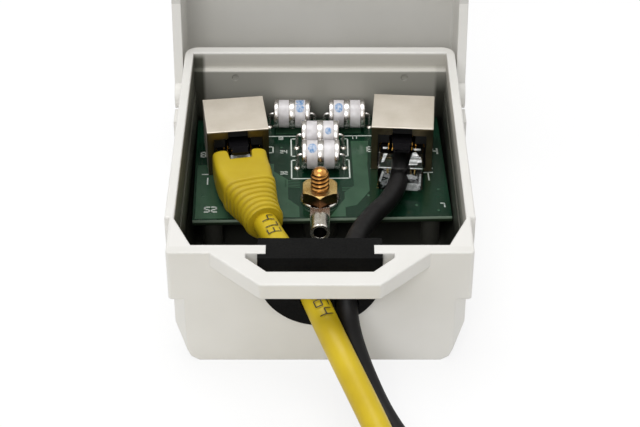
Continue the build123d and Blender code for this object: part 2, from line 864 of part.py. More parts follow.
def make_boot(path):
    """Tapering moulded boot along a path from the plug to the lead, with ribs round its tail."""

    def station(share):
        way = path % share
        side = Vector(0, 0, 1).cross(way).normalized()
        return Plane(origin=path @ share, x_dir=side, z_dir=way)

    sections = []
    for index in range(boot_section_count):
        share = index / (boot_section_count - 1)
        width, height, corner = boot_section(share)
        sections.append(station(share) * RectangleRounded(width, height, corner))
    boot = loft(sections)
    step = (boot_rib_last - boot_rib_first) / (boot_rib_count - 1)
    for index in range(boot_rib_count):
        share = boot_rib_first + index * step - boot_rib_length / path.length
        width, height, corner = boot_section(share)
        grow = 2 * boot_rib_height
        outline = RectangleRounded(width + grow, height + grow, corner + boot_rib_height)
        boot = boot + extrude(station(share) * outline, boot_rib_length)
    return boot


def boot_pocket():
    """Room for the plug's rear and its latch in the boot's front."""
    rear = plug_inserted - plug_length
    half = plug_width / 2
    top = plug_lift + plug_height
    pocket = block((-half, rear, plug_lift), (half, 0, top))
    pocket = chamfer(pocket.edges().filter_by(Axis.Y), plug_corner)
    notch_half = boot_notch_width / 2
    notch_end = -boot_start - boot_notch_length
    return pocket + block((-notch_half, notch_end, top - hair), (notch_half, 0, top + boot_front_height / 2))


def boot_path(location, end, end_way):
    """Smooth curve from the plug's axis to the start of the lead."""
    centre = plug_lift + plug_height / 2
    start = location * Pos(0, -boot_start, centre)
    start_point = start.position
    way = (location * Pos(0, -boot_start - 1, centre)).position - start_point
    first = start_point + way * boot_lead_in
    second = Vector(*end) - end_way * boot_lead_in
    return Bezier(start_point, first, second, Vector(*end))


# Leads

def cable_path(points, diameter, name):
    """Straight runs joined by tangent arcs, each as large as its two runs allow."""
    corners = [Vector(*p) for p in points]
    rooms = [arc_share * (b - a).length for a, b in zip(corners, corners[1:])]
    rooms[0] *= 2
    rooms[-1] *= 2
    radii = []
    for index in range(1, len(corners) - 1):
        turn = (corners[index] - corners[index - 1]).get_angle(corners[index + 1] - corners[index])
        radii.append(min(rooms[index - 1], rooms[index]) / tan(radians(turn) / 2))
    print(name, "radii", [round(r, 1) for r in radii])
    if min(radii) < smallest_bend * diameter:
        print(name, "bends tighter than", smallest_bend, "diameters")
    return FilletPolyline(*corners, radius=radii)


def make_cable(points, diameter, name):
    path = cable_path(points, diameter, name)
    way = (Vector(*points[1]) - Vector(*points[0])).normalized()
    section = Plane(origin=points[0], z_dir=way) * Circle(diameter / 2)
    cable = sweep(section, path=path)
    expected = pi * (diameter / 2) ** 2 * path.length
    print(name, "length", round(path.length, 1), "volume share", round(cable.volume / expected, 4))
    return cable


def coil_centre(route, radius):
    """The lead meets its coil at the coil's rightmost point."""
    x, y, _ = route[-1]
    return x - radius, y


def coil_top(diameter):
    return coil_lift + coil_layers * diameter


def coil_outline(diameter, grow):
    height = coil_layers * diameter
    corner = diameter * coil_corner_share
    return RectangleRounded(diameter + coil_play + 2 * grow, height + 2 * grow, corner + grow)


def make_coil(centre, radius, diameter):
    x, y = centre
    middle = coil_lift + coil_layers * diameter / 2
    section = Plane(origin=(x + radius, y, middle), x_dir=(1, 0, 0), z_dir=(0, -1, 0))
    return revolve(section * coil_outline(diameter, 0), Axis((x, y, 0), (0, 0, 1)))


def make_tie(centre, radius, diameter):
    """Band round the turns, on the side of the coil away from the box."""
    x, y = centre
    middle = coil_lift + coil_layers * diameter / 2
    plane = Plane(origin=(x - tie_width / 2, y - radius, middle), x_dir=(0, 1, 0), z_dir=(1, 0, 0))
    outer = extrude(plane * coil_outline(diameter, tie_thickness), tie_width)
    return outer - make_coil(centre, radius, diameter)


parts = {}
parts["base_shell"] = add_hinge(add_bosses(make_base()))
parts["lid"] = make_lid()
parts["cable_grommet"] = make_grommet()
parts["circuit_board"] = make_board()
parts["board_screws"] = make_screws()
parts["ground_stud"] = make_stud()
parts["ground_nut"] = make_nut()
parts["ring_terminal"] = make_ring_terminal()
for name, (x, y) in tube_places.items():
    parts[name] = make_gas_tube(x, y)

left_place = jack_location(left_jack_place, left_jack_yaw)
right_place = jack_location(right_jack_place, right_jack_yaw)
for side, place in (("left", left_place), ("right", right_place)):
    parts[side + "_jack_shield"] = place * make_shield()
    parts[side + "_jack_housing"] = place * make_housing()
    parts[side + "_jack_contacts"] = place * make_jack_contacts()

yellow_start = Vector(*yellow_route[0])
yellow_way = (Vector(*yellow_route[1]) - yellow_start).normalized()
near_boot = make_boot(boot_path(left_place, yellow_route[0], yellow_way))
parts["yellow_plug_body"] = left_place * make_plug_body(0)
parts["yellow_plug_contacts"] = left_place * make_plug_contacts()
parts["yellow_plug_boot"] = near_boot - left_place * boot_pocket()
parts["yellow_cable"] = make_cable(yellow_route, yellow_diameter, "yellow_cable")
yellow_centre = coil_centre(yellow_route, yellow_coil_radius)
parts["yellow_coil"] = make_coil(yellow_centre, yellow_coil_radius, yellow_diameter)
parts["yellow_coil_tie"] = make_tie(yellow_centre, yellow_coil_radius, yellow_diameter)
parts["yellow_tail"] = make_cable(yellow_tail_route, yellow_diameter, "yellow_tail")
tail_x, tail_y, _ = yellow_tail_route[-1]
far_axis_z = coil_top(yellow_diameter) + far_plug_gap + boot_rib_height + boot_front_height / 2
far_z = far_axis_z - plug_lift - plug_height / 2
yellow_far = Location((tail_x, tail_y - far_boot_length - boot_start, far_z), (0, 0, 180))
far_path = boot_path(yellow_far, (tail_x, tail_y, far_axis_z), Vector(0, 1, 0))
parts["yellow_far_plug_body"] = yellow_far * make_plug_body(0)
parts["yellow_far_plug_contacts"] = yellow_far * make_plug_contacts()
parts["yellow_far_plug_boot"] = make_boot(far_path) - yellow_far * boot_pocket()

parts["black_plug_body"] = right_place * make_plug_body(black_diameter)
parts["black_plug_contacts"] = right_place * make_plug_contacts()
parts["black_cable"] = make_cable(black_route, black_diameter, "black_cable")
black_centre = coil_centre(black_route, black_coil_radius)
parts["black_coil"] = make_coil(black_centre, black_coil_radius, black_diameter)
parts["black_coil_tie"] = make_tie(black_centre, black_coil_radius, black_diameter)
parts["black_tail"] = make_cable(black_tail_route, black_diameter, "black_tail")
tail_x, tail_y, _ = black_tail_route[-1]
black_far_z = coil_top(black_diameter) + far_plug_gap - plug_lift
black_far = Location((tail_x + plug_length - plug_inserted, tail_y, black_far_z), (0, 0, -90))
parts["black_far_plug_body"] = black_far * make_plug_body(0)
parts["black_far_plug_contacts"] = black_far * make_plug_contacts()

os.makedirs("parts", exist_ok=True)
for name, shape in parts.items():
    export_step(shape, os.path.join("parts", name + ".step"))
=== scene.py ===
import json
import math
from functools import partial

import bmesh
import bpy
import numpy as np
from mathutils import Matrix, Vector


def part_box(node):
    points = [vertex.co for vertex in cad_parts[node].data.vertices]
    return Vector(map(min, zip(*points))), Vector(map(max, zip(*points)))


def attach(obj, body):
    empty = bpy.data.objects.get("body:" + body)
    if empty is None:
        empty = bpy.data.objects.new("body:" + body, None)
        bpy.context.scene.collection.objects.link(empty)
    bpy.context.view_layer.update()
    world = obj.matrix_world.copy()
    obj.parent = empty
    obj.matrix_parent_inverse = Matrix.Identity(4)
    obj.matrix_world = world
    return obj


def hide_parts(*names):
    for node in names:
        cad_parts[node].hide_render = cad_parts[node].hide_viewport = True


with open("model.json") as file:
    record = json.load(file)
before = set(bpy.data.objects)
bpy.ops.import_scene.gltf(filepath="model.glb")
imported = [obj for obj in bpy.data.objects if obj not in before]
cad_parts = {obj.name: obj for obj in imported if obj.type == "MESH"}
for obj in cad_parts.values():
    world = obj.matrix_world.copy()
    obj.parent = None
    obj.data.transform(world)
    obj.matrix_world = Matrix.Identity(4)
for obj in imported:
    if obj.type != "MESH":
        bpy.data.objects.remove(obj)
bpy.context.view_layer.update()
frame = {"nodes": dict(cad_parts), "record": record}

mm = 0.001
record = frame["record"]
nodes = frame["nodes"]
slotOf = {part["node"]: part["material_slot"] for part in record["subparts"]}
print("frame loaded,", len(nodes), "nodes")


def addObject(name, data):
    # Puts new data into the scene as an object at the origin
    obj = bpy.data.objects.new(name, data)
    bpy.context.scene.collection.objects.link(obj)
    return obj


# Camera, set up as the photograph was taken: in front of the lead end and above it
camera = {"place": (0.0, -0.3401, 0.2613), "tilt": 53.5, "lens": 92.2, "sensor": 36.0, "near": 0.01}


def makeCamera():
    # Turned about X only: it looks level with the case's own middle line
    data = bpy.data.cameras.new("camera")
    data.lens = camera["lens"]
    data.sensor_width = camera["sensor"]
    data.clip_start = camera["near"]
    obj = addObject("camera", data)
    obj.location = camera["place"]
    obj.rotation_euler = (math.radians(camera["tilt"]), 0, 0)
    bpy.context.scene.camera = obj


makeCamera()


# Small tools

def linear(hexText, alpha=1.0):
    # sRGB hex to linear colour, each channel by the sRGB curve
    values = [int(hexText[i:i + 2], 16) / 255 for i in (1, 3, 5)]
    curve = [v / 12.92 if v <= 0.04045 else ((v + 0.055) / 1.055) ** 2.4 for v in values]
    return (*curve, alpha)


def setInputs(node, inputs):
    # An input takes a plain value, a socket, or a node, of which the first live output is linked
    for key, value in inputs.items():
        if isinstance(value, bpy.types.Node):
            value = next(socket for socket in value.outputs if socket.enabled)
        if isinstance(value, bpy.types.NodeSocket):
            node.id_data.links.new(value, node.inputs[key])
        else:
            node.inputs[key].default_value = value


def addNode(tree, kind, inputs=None, stops=None, **settings):
    # Adds a shader node with its settings, its inputs and the stops of its ramp
    node = tree.nodes.new("ShaderNode" + kind)
    for key, value in settings.items():
        setattr(node, key, value)
    setInputs(node, inputs or {})
    if stops:
        bar = node.color_ramp
        while len(bar.elements) < len(stops):
            bar.elements.new(0.5)
        for element, (place, colour) in zip(bar.elements, stops):
            element.position = place
            element.color = linear(colour)
    return node


def newFinish(name, look, **values):
    # A skin whose tone drifts from deep to pale over cloudMm, with a grain of grainMm in shine and relief
    material = bpy.data.materials.new(name)
    material.use_nodes = True
    add = partial(addNode, material.node_tree)
    shader = material.node_tree.nodes["Principled BSDF"]
    point = add("TexCoord").outputs["Object"]
    cloud = add("TexNoise", {"Vector": point, "Scale": 1 / mm / look["cloudMm"], "Detail": 3.0})
    tone = add("ValToRGB", {"Fac": cloud}, [(0.3, look["deep"]), (0.7, look["pale"])])
    grain = add("TexNoise", {"Vector": point, "Scale": 1 / mm / look["grainMm"], "Detail": 2.0})
    shine = add("MapRange", {
        "Value": grain, "From Min": 0.3, "From Max": 0.7,
        "To Min": look["rough"] * 0.85, "To Max": look["rough"] * 1.2,
    })
    relief = {"Height": grain, "Distance": look["bumpMm"] * mm, "Strength": 0.5}
    if look.get("bevelMm"):
        relief["Normal"] = add("Bevel", {"Radius": look["bevelMm"] * mm}, samples=4)
    setInputs(shader, {"Base Color": tone, "Roughness": shine, "Normal": add("Bump", relief)})
    setInputs(shader, {key.replace("_", " "): value for key, value in values.items()})
    return material, add, shader, point, tone


def plainFinish(name, pale, deep, rough, cloudMm, grainMm, bumpMm, bevelMm=0, **values):
    # A skin with nothing added to it, by its material alone
    look = {"pale": pale, "deep": deep, "rough": rough, "cloudMm": cloudMm, "grainMm": grainMm,
            "bumpMm": bumpMm, "bevelMm": bevelMm}
    return newFinish(name, look, **values)[0]


# Materials

# The case has one tone outside. In the tray its tone is painted shade by height, as a share of full, with a
# thin painted highlight at the ledge, and more painted shade low on the side walls. Lengths in mm.
caseLook = {
    "pale": "#DDDBD6", "deep": "#D7D5CF", "cloudMm": 18, "grainMm": 0.35, "bumpMm": 0.012, "rough": 0.42,
    "bevelMm": 0.35, "halfX": 34.6, "halfY": 43.3, "floor": 1.0, "full": 33.0,
    # Painted shade by height in the tray, near black on the floor in front of the board; the pale stop at
    # 0.828 is a painted highlight along the ledge
    "trayShadeByHeight": [(0.37, "#45453F"), (0.41, "#7E7E76"), (0.6, "#A5A39A"), (0.82, "#A8A69D"), (0.828, "#D8D5CD"),
               (0.86, "#BBB8AF"), (0.955, "#C8C5BD"), (0.975, "#DDDBD6")],
    "outwardFrom": 20.0, "wallX": 31.0, "wallY": 41.0,
    # Painted shade low on the side walls: across from sideFrom to sideTo, its tone on each side, and from Top
    # down to Low in height
    "sideFrom": 31.0, "sideTo": 32.0, "leftWallShade": "#80827B", "rightWallShade": "#696B65",
    "leftTop": 32.2, "leftLow": 30.4, "rightTop": 29.0, "rightLow": 21.0,
    # The last three keys set the painted shade on the lid's inner face
    "shine": 0.5, "dullShine": 0.12, "lidFrom": 44.0, "forward": -0.5, "lidShade": "#E8E8E7",
}


def casePlastic():
    # ASA, moulded in a spark-eroded mould: pale warm grey, fine grain, soft shine. Its tone is the outside's,
    # or in the tray painted shade by height * painted shade on the side walls
    look = caseLook
    material, add, shader, point, tone = newFinish("casePlasticAsa", look, IOR=1.5)
    place = add("SeparateXYZ", {"Vector": point})
    acrossX = add("Math", {0: place.outputs["X"]}, operation="ABSOLUTE")
    acrossY = add("Math", {0: place.outputs["Y"]}, operation="ABSOLUTE")
    high = place.outputs["Z"]
    facing = add("TexCoord").outputs["Normal"]

    # Inside the tray: between the walls, over the floor and under the rim
    inside = 1.0
    for value, limit, test in [(acrossX, "halfX", "LESS_THAN"), (acrossY, "halfY", "LESS_THAN"),
                               (high, "floor", "GREATER_THAN"), (high, "full", "LESS_THAN")]:
        within = add("Math", {0: value, 1: look[limit] * mm}, operation=test)
        inside = add("Math", {0: inside, 1: within}, operation="MULTIPLY")

    # Less the outer skin by the walls, where X * normal X + Y * normal Y is large
    plan = add("CombineXYZ", {"X": place.outputs["X"], "Y": place.outputs["Y"]})
    away = add("VectorMath", {0: plan, 1: facing}, operation="DOT_PRODUCT")
    outward, nearX, nearY = [
        add("Math", {0: value, 1: look[limit] * mm}, operation="GREATER_THAN")
        for value, limit in [(away, "outwardFrom"), (acrossX, "wallX"), (acrossY, "wallY")]
    ]
    near = add("Math", {0: nearX, 1: nearY}, operation="MAXIMUM")
    skin = add("Math", {0: outward, 1: near}, operation="MULTIPLY")
    inside = add("Math", {0: inside, 1: skin}, operation="SUBTRACT", use_clamp=True)

    # Painted shade by height, times more painted shade low on each side wall
    share = add("Math", {0: high, 1: look["full"] * mm}, operation="DIVIDE")
    depth = add("ValToRGB", {"Fac": share}, look["trayShadeByHeight"])
    onRight = add("Math", {0: place.outputs["X"], 1: 0.0}, operation="GREATER_THAN")
    sideTop, sideLow = [
        add("MapRange", {
            "Value": onRight, "To Min": look["left" + end] * mm, "To Max": look["right" + end] * mm,
        }) for end in ("Top", "Low")
    ]
    side = add("MapRange", {
        "Value": acrossX, "From Min": look["sideFrom"] * mm, "From Max": look["sideTo"] * mm,
    })
    lowSide = add("MapRange", {"Value": high, "From Min": sideTop, "From Max": sideLow})
    side = add("Math", {0: side, 1: lowSide}, operation="MULTIPLY")
    # Painted shade: the tone of the shade on each side wall
    sideWallShade = add("Mix", {
        "Factor": onRight, "A": linear(look["leftWallShade"]), "B": linear(look["rightWallShade"]),
    }, data_type="RGBA")
    trayInShade = add("Mix", {"Factor": side, "A": depth, "B": sideWallShade}, data_type="RGBA", blend_type="MULTIPLY")

    # The left wall faces away from the light, so its shine goes too
    dull = add("Math", {0: 1.0, 1: onRight}, operation="SUBTRACT")
    for part in (side, inside):
        dull = add("Math", {0: dull, 1: part}, operation="MULTIPLY")
    level = add("MapRange", {"Value": dull, "To Min": look["shine"], "To Max": look["dullShine"]})
    setInputs(shader, {"Specular IOR Level": level})

    # Painted shade on the inner face of the lid, where it faces forward
    onLid = add("Math", {0: place.outputs["Y"], 1: look["lidFrom"] * mm}, operation="GREATER_THAN")
    faceY = add("SeparateXYZ", {"Vector": facing}).outputs["Y"]
    forward = add("Math", {0: faceY, 1: look["forward"]}, operation="LESS_THAN")
    lidShade = add("Math", {0: onLid, 1: forward}, operation="MULTIPLY")
    shaded = add("Mix", {
        "Factor": lidShade, "A": tone, "B": linear(look["lidShade"]),
    }, data_type="RGBA", blend_type="MULTIPLY")
    # In the tray the painted shade takes the place of the plain tone
    mixed = add("Mix", {"Factor": inside, "A": shaded, "B": trayInShade}, data_type="RGBA")
    setInputs(shader, {"Base Color": mixed})
    return material


def boardGreen():
    # FR-4 with green solder mask: dark and glossy on top. The sawn edge, where the normal is level, shows
    # pale fibre in its upper half
    look = {"pale": "#0C3221", "deep": "#092819", "cloudMm": 9, "grainMm": 0.6, "bumpMm": 0.01, "rough": 0.2,
            "edge": [(0.0, "#1E2A1C"), (0.45, "#2A3A28"), (0.6, "#9DB39C"), (1.0, "#B4C6B2")],
            "edgeLow": 11.2, "edgeHigh": 12.8, "sawnFrom": 0.6, "sawnTo": 0.4}
    material, add, shader, point, tone = newFinish("solderMaskGreen", look, IOR=1.5, Specular_IOR_Level=0.3)
    normal = add("NewGeometry").outputs["Normal"]
    up = add("SeparateXYZ", {"Vector": normal}).outputs["Z"]
    flat = add("Math", {0: up}, operation="ABSOLUTE")
    sawn = add("MapRange", {"Value": flat, "From Min": look["sawnFrom"], "From Max": look["sawnTo"]})
    high = add("SeparateXYZ", {"Vector": point}).outputs["Z"]
    share = add("MapRange", {
        "Value": high, "From Min": look["edgeLow"] * mm, "From Max": look["edgeHigh"] * mm,
    })
    edge = add("ValToRGB", {"Fac": share}, look["edge"])
    mixed = add("Mix", {"Factor": sawn, "A": tone, "B": edge}, data_type="RGBA")
    setInputs(shader, {"Base Color": mixed})
    return material


def metalOf(name, pale, deep, rough, cloudMm, grainMm, bumpMm, bevelMm=0.12):
    # Bare or plated metal: its tone drifts slowly and its skin has a fine grain
    return plainFinish(name, pale, deep, rough, cloudMm, grainMm, bumpMm, bevelMm, Metallic=1.0)


def hexagonBrass():
    # Brass nut, milled and plated, bright on top; painted shade turns its sides brown, where the normal is
    # level
    look = {"pale": "#DCC084", "deep": "#B8924E", "cloudMm": 3, "grainMm": 0.2, "bumpMm": 0.008,
            # The brown is painted shade for the nut's sides, from flatFrom to flatTo in the normal's Z
            "rough": 0.28, "bevelMm": 0.22, "nutSideShade": "#6E4C32", "flatFrom": 0.35, "flatTo": 0.1}
    material, add, shader, _, tone = newFinish("hexagonBrass", look, Metallic=1.0)
    normal = add("NewGeometry").outputs["Normal"]
    up = add("SeparateXYZ", {"Vector": normal}).outputs["Z"]
    # Painted shade on the sides
    nutShadeMask = add("MapRange", {"Value": up, "From Min": look["flatFrom"], "From Max": look["flatTo"]})
    mixed = add("Mix", {"Factor": nutShadeMask, "A": tone, "B": linear(look["nutSideShade"])}, data_type="RGBA")
    setInputs(shader, {"Base Color": mixed})
    return material


def softVinyl(name, pale, deep, rough, level):
    # Soft PVC, and the nylon of the jacks: even colour, soft gloss, hardly any grain
    return plainFinish(name, pale, deep, rough, 7, 2.5, 0.02, IOR=1.53, Specular_IOR_Level=level)


def clearPlastic():
    # Polycarbonate, moulded: clear and bright; the latches of the two plugs in the box are near black,
    # letting little light through
    look = {"pale": "#FAFCFB", "deep": "#F0F4F3", "cloudMm": 4, "grainMm": 1.4, "bumpMm": 0.02, "rough": 0.05,
            "latch": "#151416", "latchAbove": 21.1, "boxFront": -46.0, "latchClear": 0.1}
    material, add, shader, point, tone = newFinish("polycarbonateClear", look, IOR=1.35)
    place = add("SeparateXYZ", {"Vector": point})
    above, inBox = [
        add("Math", {0: place.outputs[axis], 1: look[limit] * mm}, operation="GREATER_THAN")
        for axis, limit in [("Z", "latchAbove"), ("Y", "boxFront")]
    ]
    darkLatch = add("Math", {0: above, 1: inBox}, operation="MULTIPLY")
    mixed = add("Mix", {"Factor": darkLatch, "A": tone, "B": linear(look["latch"])}, data_type="RGBA")
    clear = add("MapRange", {"Value": darkLatch, "To Min": 1.0, "To Max": look["latchClear"]})
    setInputs(shader, {"Base Color": mixed, "Transmission Weight": clear})
    return material


# One finish for each material slot of the record
materials = {
    "case_plastic": casePlastic(),
    # EPDM, moulded: nearly black and matt, its fine pores swallow most of the shine
    "black_rubber": plainFinish("rubberEpdm", "#0F0F0E", "#080808", 0.7, 5, 0.5, 0.02, 0.06, IOR=1.5,
                                Specular_IOR_Level=0.08),
    "board_green": boardGreen(),
    "zinc_steel": metalOf("zincPlate", "#C9CCD2", "#A9ABB0", 0.3, 2, 0.2, 0.01),
    "raw_brass": metalOf("turnedCopperBrass", "#CE9A5A", "#94602A", 0.26, 1.5, 0.15, 0.008, 0),
    "plated_brass": hexagonBrass(),
    "tinned_copper": metalOf("tinPlate", "#ECE8E0", "#C9C3B8", 0.26, 2, 0.3, 0.015),
    "nickel_sheet": metalOf("satinNickel", "#DCD5CA", "#CFC7BA", 0.5, 7, 0.25, 0.01, 0.08),
    "gold_contact": metalOf("goldFlash", "#E8C47A", "#C99C4C", 0.25, 1, 0.1, 0.005, 0.05),
    "black_plastic": softVinyl("nylonBlack", "#131312", "#0C0C0C", 0.5, 0.25),
    "clear_plastic": clearPlastic(),
    "yellow_boot": softVinyl("bootVinylYellow", "#BFA61F", "#B69C1A", 0.42, 0.3),
    "yellow_jacket": softVinyl("jacketPvcYellow", "#C9AF1E", "#BFA419", 0.38, 0.3),
    "black_jacket": softVinyl("jacketPvcBlack", "#0F0D0D", "#080707", 0.5, 0.2),
    "ceramic_tube": metalOf("tubeNickel", "#D8D5D2", "#BDB8B4", 0.25, 2, 0.2, 0.008),
}
# Hook-and-loop strap: black nylon pile, matt and fuzzy
strapMaterial = plainFinish("nylonStrap", "#26262A", "#0F0F10", 0.8, 0.8, 0.6, 0.15, IOR=1.5,
                            Sheen_Weight=0.3)
for name, obj in nodes.items():
    finish = strapMaterial if name.endswith("_coil_tie") else materials[slotOf[name]]
    obj.data.materials.clear()
    obj.data.materials.append(finish)
print("materials made")


# The two leads in mm, their length in metres. The route runs from the plug in the box to the coil, the tail
# from the coil to the far plug.

coil = {"turns": 1.5, "levelTurns": 0.5, "climbTurns": 0.5, "stepsPerTurn": 14}
yellowLead = {
    "diameter": 6.2, "length": 0.5, "coilRadius": 31.5,
    "route": [
        (-13.5, -16.7, 19.0), (-10.4, -25.9, 19.3), (-4.3, -37.7, 20.7), (0.0, -50.7, 19.4),
        (4.5, -62.5, 17.0), (12.2, -76.9, 8.8), (18.3, -91.2, 3.6), (23.2, -106.4, 3.5), (24.2, -122.8, 3.9),
    ],
    "tail": [
        (-38.8, -122.8, 10.1), (-38.8, -113.7, 10.6), (-28.1, -99.0, 12.0), (-10.8, -93.4, 13.6),
        (6.5, -99.0, 15.6), (17.2, -113.7, 17.8), (17.2, -122.8, 18.6),
    ],
}
blackLead = {
    "diameter": 5.0, "length": 0.5, "coilRadius": 25.5,
    "route": [
        (21.28, 12.83, 17.7), (20.66, 4.2, 17.7), (17.8, -5.2, 17.8), (12.6, -13.2, 18.6), (8.3, -25.2, 20.5),
        (6.2, -38.2, 22.1), (6.1, -51.7, 17.4), (9.5, -60.3, 10.3), (15.6, -72.2, 3.3), (24.8, -87.7, 2.8),
        (33.4, -101.7, 2.8), (37.6, -117.7, 3.0), (38.4, -134.2, 3.2), (37.6, -153.0, 3.2),
        (36.0, -174.0, 3.3), (35.4, -196.0, 3.3),
    ],
    "tail": [
        (-15.6, -196.0, 8.3), (-15.6, -189.8, 9.2), (-9.4, -179.2, 11.2), (1.2, -173.0, 13.4),
        (7.4, -173.0, 14.3),
    ],
}


def coilPoints(lead):
    # Turns of the coil: x - r + r cos a, y - r sin a; level at first, then one diameter up over the climb
    x, y, z = lead["route"][-1]
    radius = lead["coilRadius"]
    steps = round(coil["turns"] * coil["stepsPerTurn"])
    turn = np.arange(1, steps) / coil["stepsPerTurn"]
    climb = np.clip((turn - coil["levelTurns"]) / coil["climbTurns"], 0, 1)
    angle = 2 * np.pi * turn
    px = x - radius + radius * np.cos(angle)
    py = y - radius * np.sin(angle)
    return list(zip(px, py, z + lead["diameter"] * climb))


def makeLead(name, lead, slotName, replaced):
    # One smooth line from the plug in the box, through the coil, to the far plug
    points = lead["route"] + coilPoints(lead) + lead["tail"]
    data = bpy.data.curves.new(name, "CURVE")
    data.dimensions = "3D"
    data.bevel_depth = lead["diameter"] / 2 * mm
    data.bevel_resolution = 6
    data.resolution_u = 8
    data.use_fill_caps = True
    spline = data.splines.new("NURBS")
    spline.points.add(len(points) - 1)
    for point, place in zip(spline.points, points):
        point.co = (*(v * mm for v in place), 1)
    spline.order_u = 3
    spline.use_endpoint_u = True
    spline.use_smooth = True
    obj = addObject(name, data)
    data.materials.append(materials[slotName])
    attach(obj, "base")
    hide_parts(*replaced)
    return obj


yellowCord = makeLead("yellowLead", yellowLead, "yellow_jacket",
                      ["yellow_cable", "yellow_coil", "yellow_tail"])
blackCord = makeLead("blackLead", blackLead, "black_jacket", ["black_cable", "black_coil", "black_tail"])
print("leads made")


# Surfaces on a grid

def around(steps):
    # Angles of one turn, evenly spread, without a last one that would be the first again
    return np.linspace(0, 2 * np.pi, steps, endpoint=False)


def smooth(value, start, over):
    # Rises from 0 to 1 over a given length with soft ends: t^2 (3 - 2 t)
    t = np.clip((value - start) / over, 0, 1)
    return t ** 2 * (3 - 2 * t)


def tidied(mesh, weld=0.0):
    # Welds corners that are nearer than weld, in metres, and turns the faces outwards
    work = bmesh.new()
    work.from_mesh(mesh)
    bmesh.ops.remove_doubles(work, verts=work.verts, dist=weld)
    bmesh.ops.recalc_face_normals(work, faces=work.faces)
    work.to_mesh(mesh)
    work.free()
    return mesh


def sheetMesh(name, grid, wrapU=False, wrapV=False, slots=None):
    # Joins a grid of points (u, v, xyz in mm) into quads; slots gives each row of quads its material
    countU, countV = grid.shape[:2]
    u = np.arange(countU if wrapU else countU - 1)[:, None]
    v = np.arange(countV if wrapV else countV - 1)[None, :]
    nextU, nextV = (u + 1) % countU, (v + 1) % countV
    corners = [u * countV + v, nextU * countV + v, nextU * countV + nextV, u * countV + nextV]
    faces = np.stack(corners, -1).reshape(-1, 4)
    mesh = bpy.data.meshes.new(name)
    mesh.from_pydata((grid.reshape(-1, 3) * mm).tolist(), [], faces.tolist())
    if slots is not None:
        mesh.polygons.foreach_set("material_index", np.repeat(slots, v.size).astype(np.int32))
    tidied(mesh, 1e-6)
    mesh.polygons.foreach_set("use_smooth", np.ones(len(mesh.polygons), bool))
    return mesh


def ridePiece(name, meshes, looks, replaced=()):
    # Makes one piece of the meshes, with its materials, and puts it on the base in place of the CAD nodes
    work = bmesh.new()
    for mesh in meshes:
        work.from_mesh(mesh)
        bpy.data.meshes.remove(mesh)
    whole = bpy.data.meshes.new(name)
    work.to_mesh(whole)
    work.free()
    for look in looks:
        whole.materials.append(look)
    obj = addObject(name, whole)
    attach(obj, "base")
    if replaced:
        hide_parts(*replaced)
    return obj


def turned(profile, steps):
    # Profile of (x, r) turned about X: y = r cos a, z = r sin a
    x, r = np.array(profile, float).T[:, :, None]
    a = around(steps)
    return np.stack([x + 0 * a, r * np.cos(a), r * np.sin(a)], -1)


def pipe(path, radius, steps=12):
    # Round rod along a path in an X-Z plane: centre + radius (cos a normal + sin a Y)
    path = np.array(path, float)
    way = np.gradient(path, axis=0)
    way /= np.linalg.norm(way, axis=1)[:, None]
    normal = np.stack([-way[:, 2], 0 * way[:, 0], way[:, 0]], -1)
    a = around(steps)[None, :, None]
    return path[:, None, :] + radius * (np.cos(a) * normal[:, None, :] + np.sin(a) * np.array([0, 1.0, 0]))


def superRing(half, power, a):
    # Rounded rectangle by |x / a| ^ n + |z / b| ^ n = 1, walked by angle
    ca, sa = np.cos(a), np.sin(a)
    size = (np.abs(ca) ** power + np.abs(sa) ** power) ** (-1 / power)
    return half[0] * size * ca, half[1] * size * sa


def oblong(left, right, low, high):
    # Outline of a rectangle
    return [(left, low), (right, low), (right, high), (left, high)]


def prism(name, outline, low, high, axis="z", place=np.asarray):
    # Closed prism: an outline in the plane across the axis, drawn out from low to high, then moved by place
    order = {"x": (2, 0, 1), "y": (0, 2, 1), "z": (0, 1, 2)}[axis]
    points = np.array([(a, b, depth) for depth in (low, high) for a, b in outline], float)[:, order]
    count = len(outline)
    faces = [(i, (i + 1) % count, count + (i + 1) % count, count + i) for i in range(count)]
    faces += [tuple(reversed(range(count))), tuple(range(count, 2 * count))]
    mesh = bpy.data.meshes.new(name)
    mesh.from_pydata((place(points) * mm).tolist(), [], faces)
    return tidied(mesh)


def nodeBox(name):
    # Lowest and highest corner of a CAD node in mm
    return [np.array(corner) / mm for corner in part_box(name)]


# The board is turned a little in its case; its print and copper are placed in mm from its middle
boardLow, boardHigh = nodeBox("circuit_board")
board = {"middle": (boardLow + boardHigh)[:2] / 2, "turn": math.radians(1.6), "top": boardHigh[2]}


def onBoard(u, v):
    # From the board's frame to the case's: middle + (u cos t - v sin t, u sin t + v cos t)
    c, n = math.cos(board["turn"]), math.sin(board["turn"])
    return board["middle"][0] + u * c - v * n, board["middle"][1] + u * n + v * c


# Gas tubes in mm. capEdge goes over the cap's rim: inward from the end, down from the radius. A mark is its
# place along the tube, its angle in degrees and its kind; a kind is half width, half height and power.

tube = {
    "radius": 4.0, "half": 5.0, "capStart": 3.6, "ringHalf": 0.85, "ceramic": 3.78, "lift": 0.3,
    "corner": (0.12, 0.08), "fillet": (0.1, 0.05),
    "capEdge": [(0.45, 0), (0.2, 0.08), (0.05, 0.3), (0, 0.6), (0, 1.2), (0.3, 1.5)],
    "leadRadius": 0.4, "leadIn": 0.5, "leadOut": 1.2, "leadBend": 0.9, "leadBelow": 3.0, "steps": 56,
    "ink": {"round": (1.15, 1.45, 1.0), "small": (0.85, 1.0, 1.0), "tall": (1.15, 2.4, 0.55)},
    "inkLift": 0.012,
    "marks": {"gas_tube_front": (-2.2, 118, "round"), "gas_tube_middle": (2.2, 130, "small"),
              "gas_tube_rear_left": (2.2, 105, "tall"), "gas_tube_rear_right": (-2.2, 120, "round")},
}


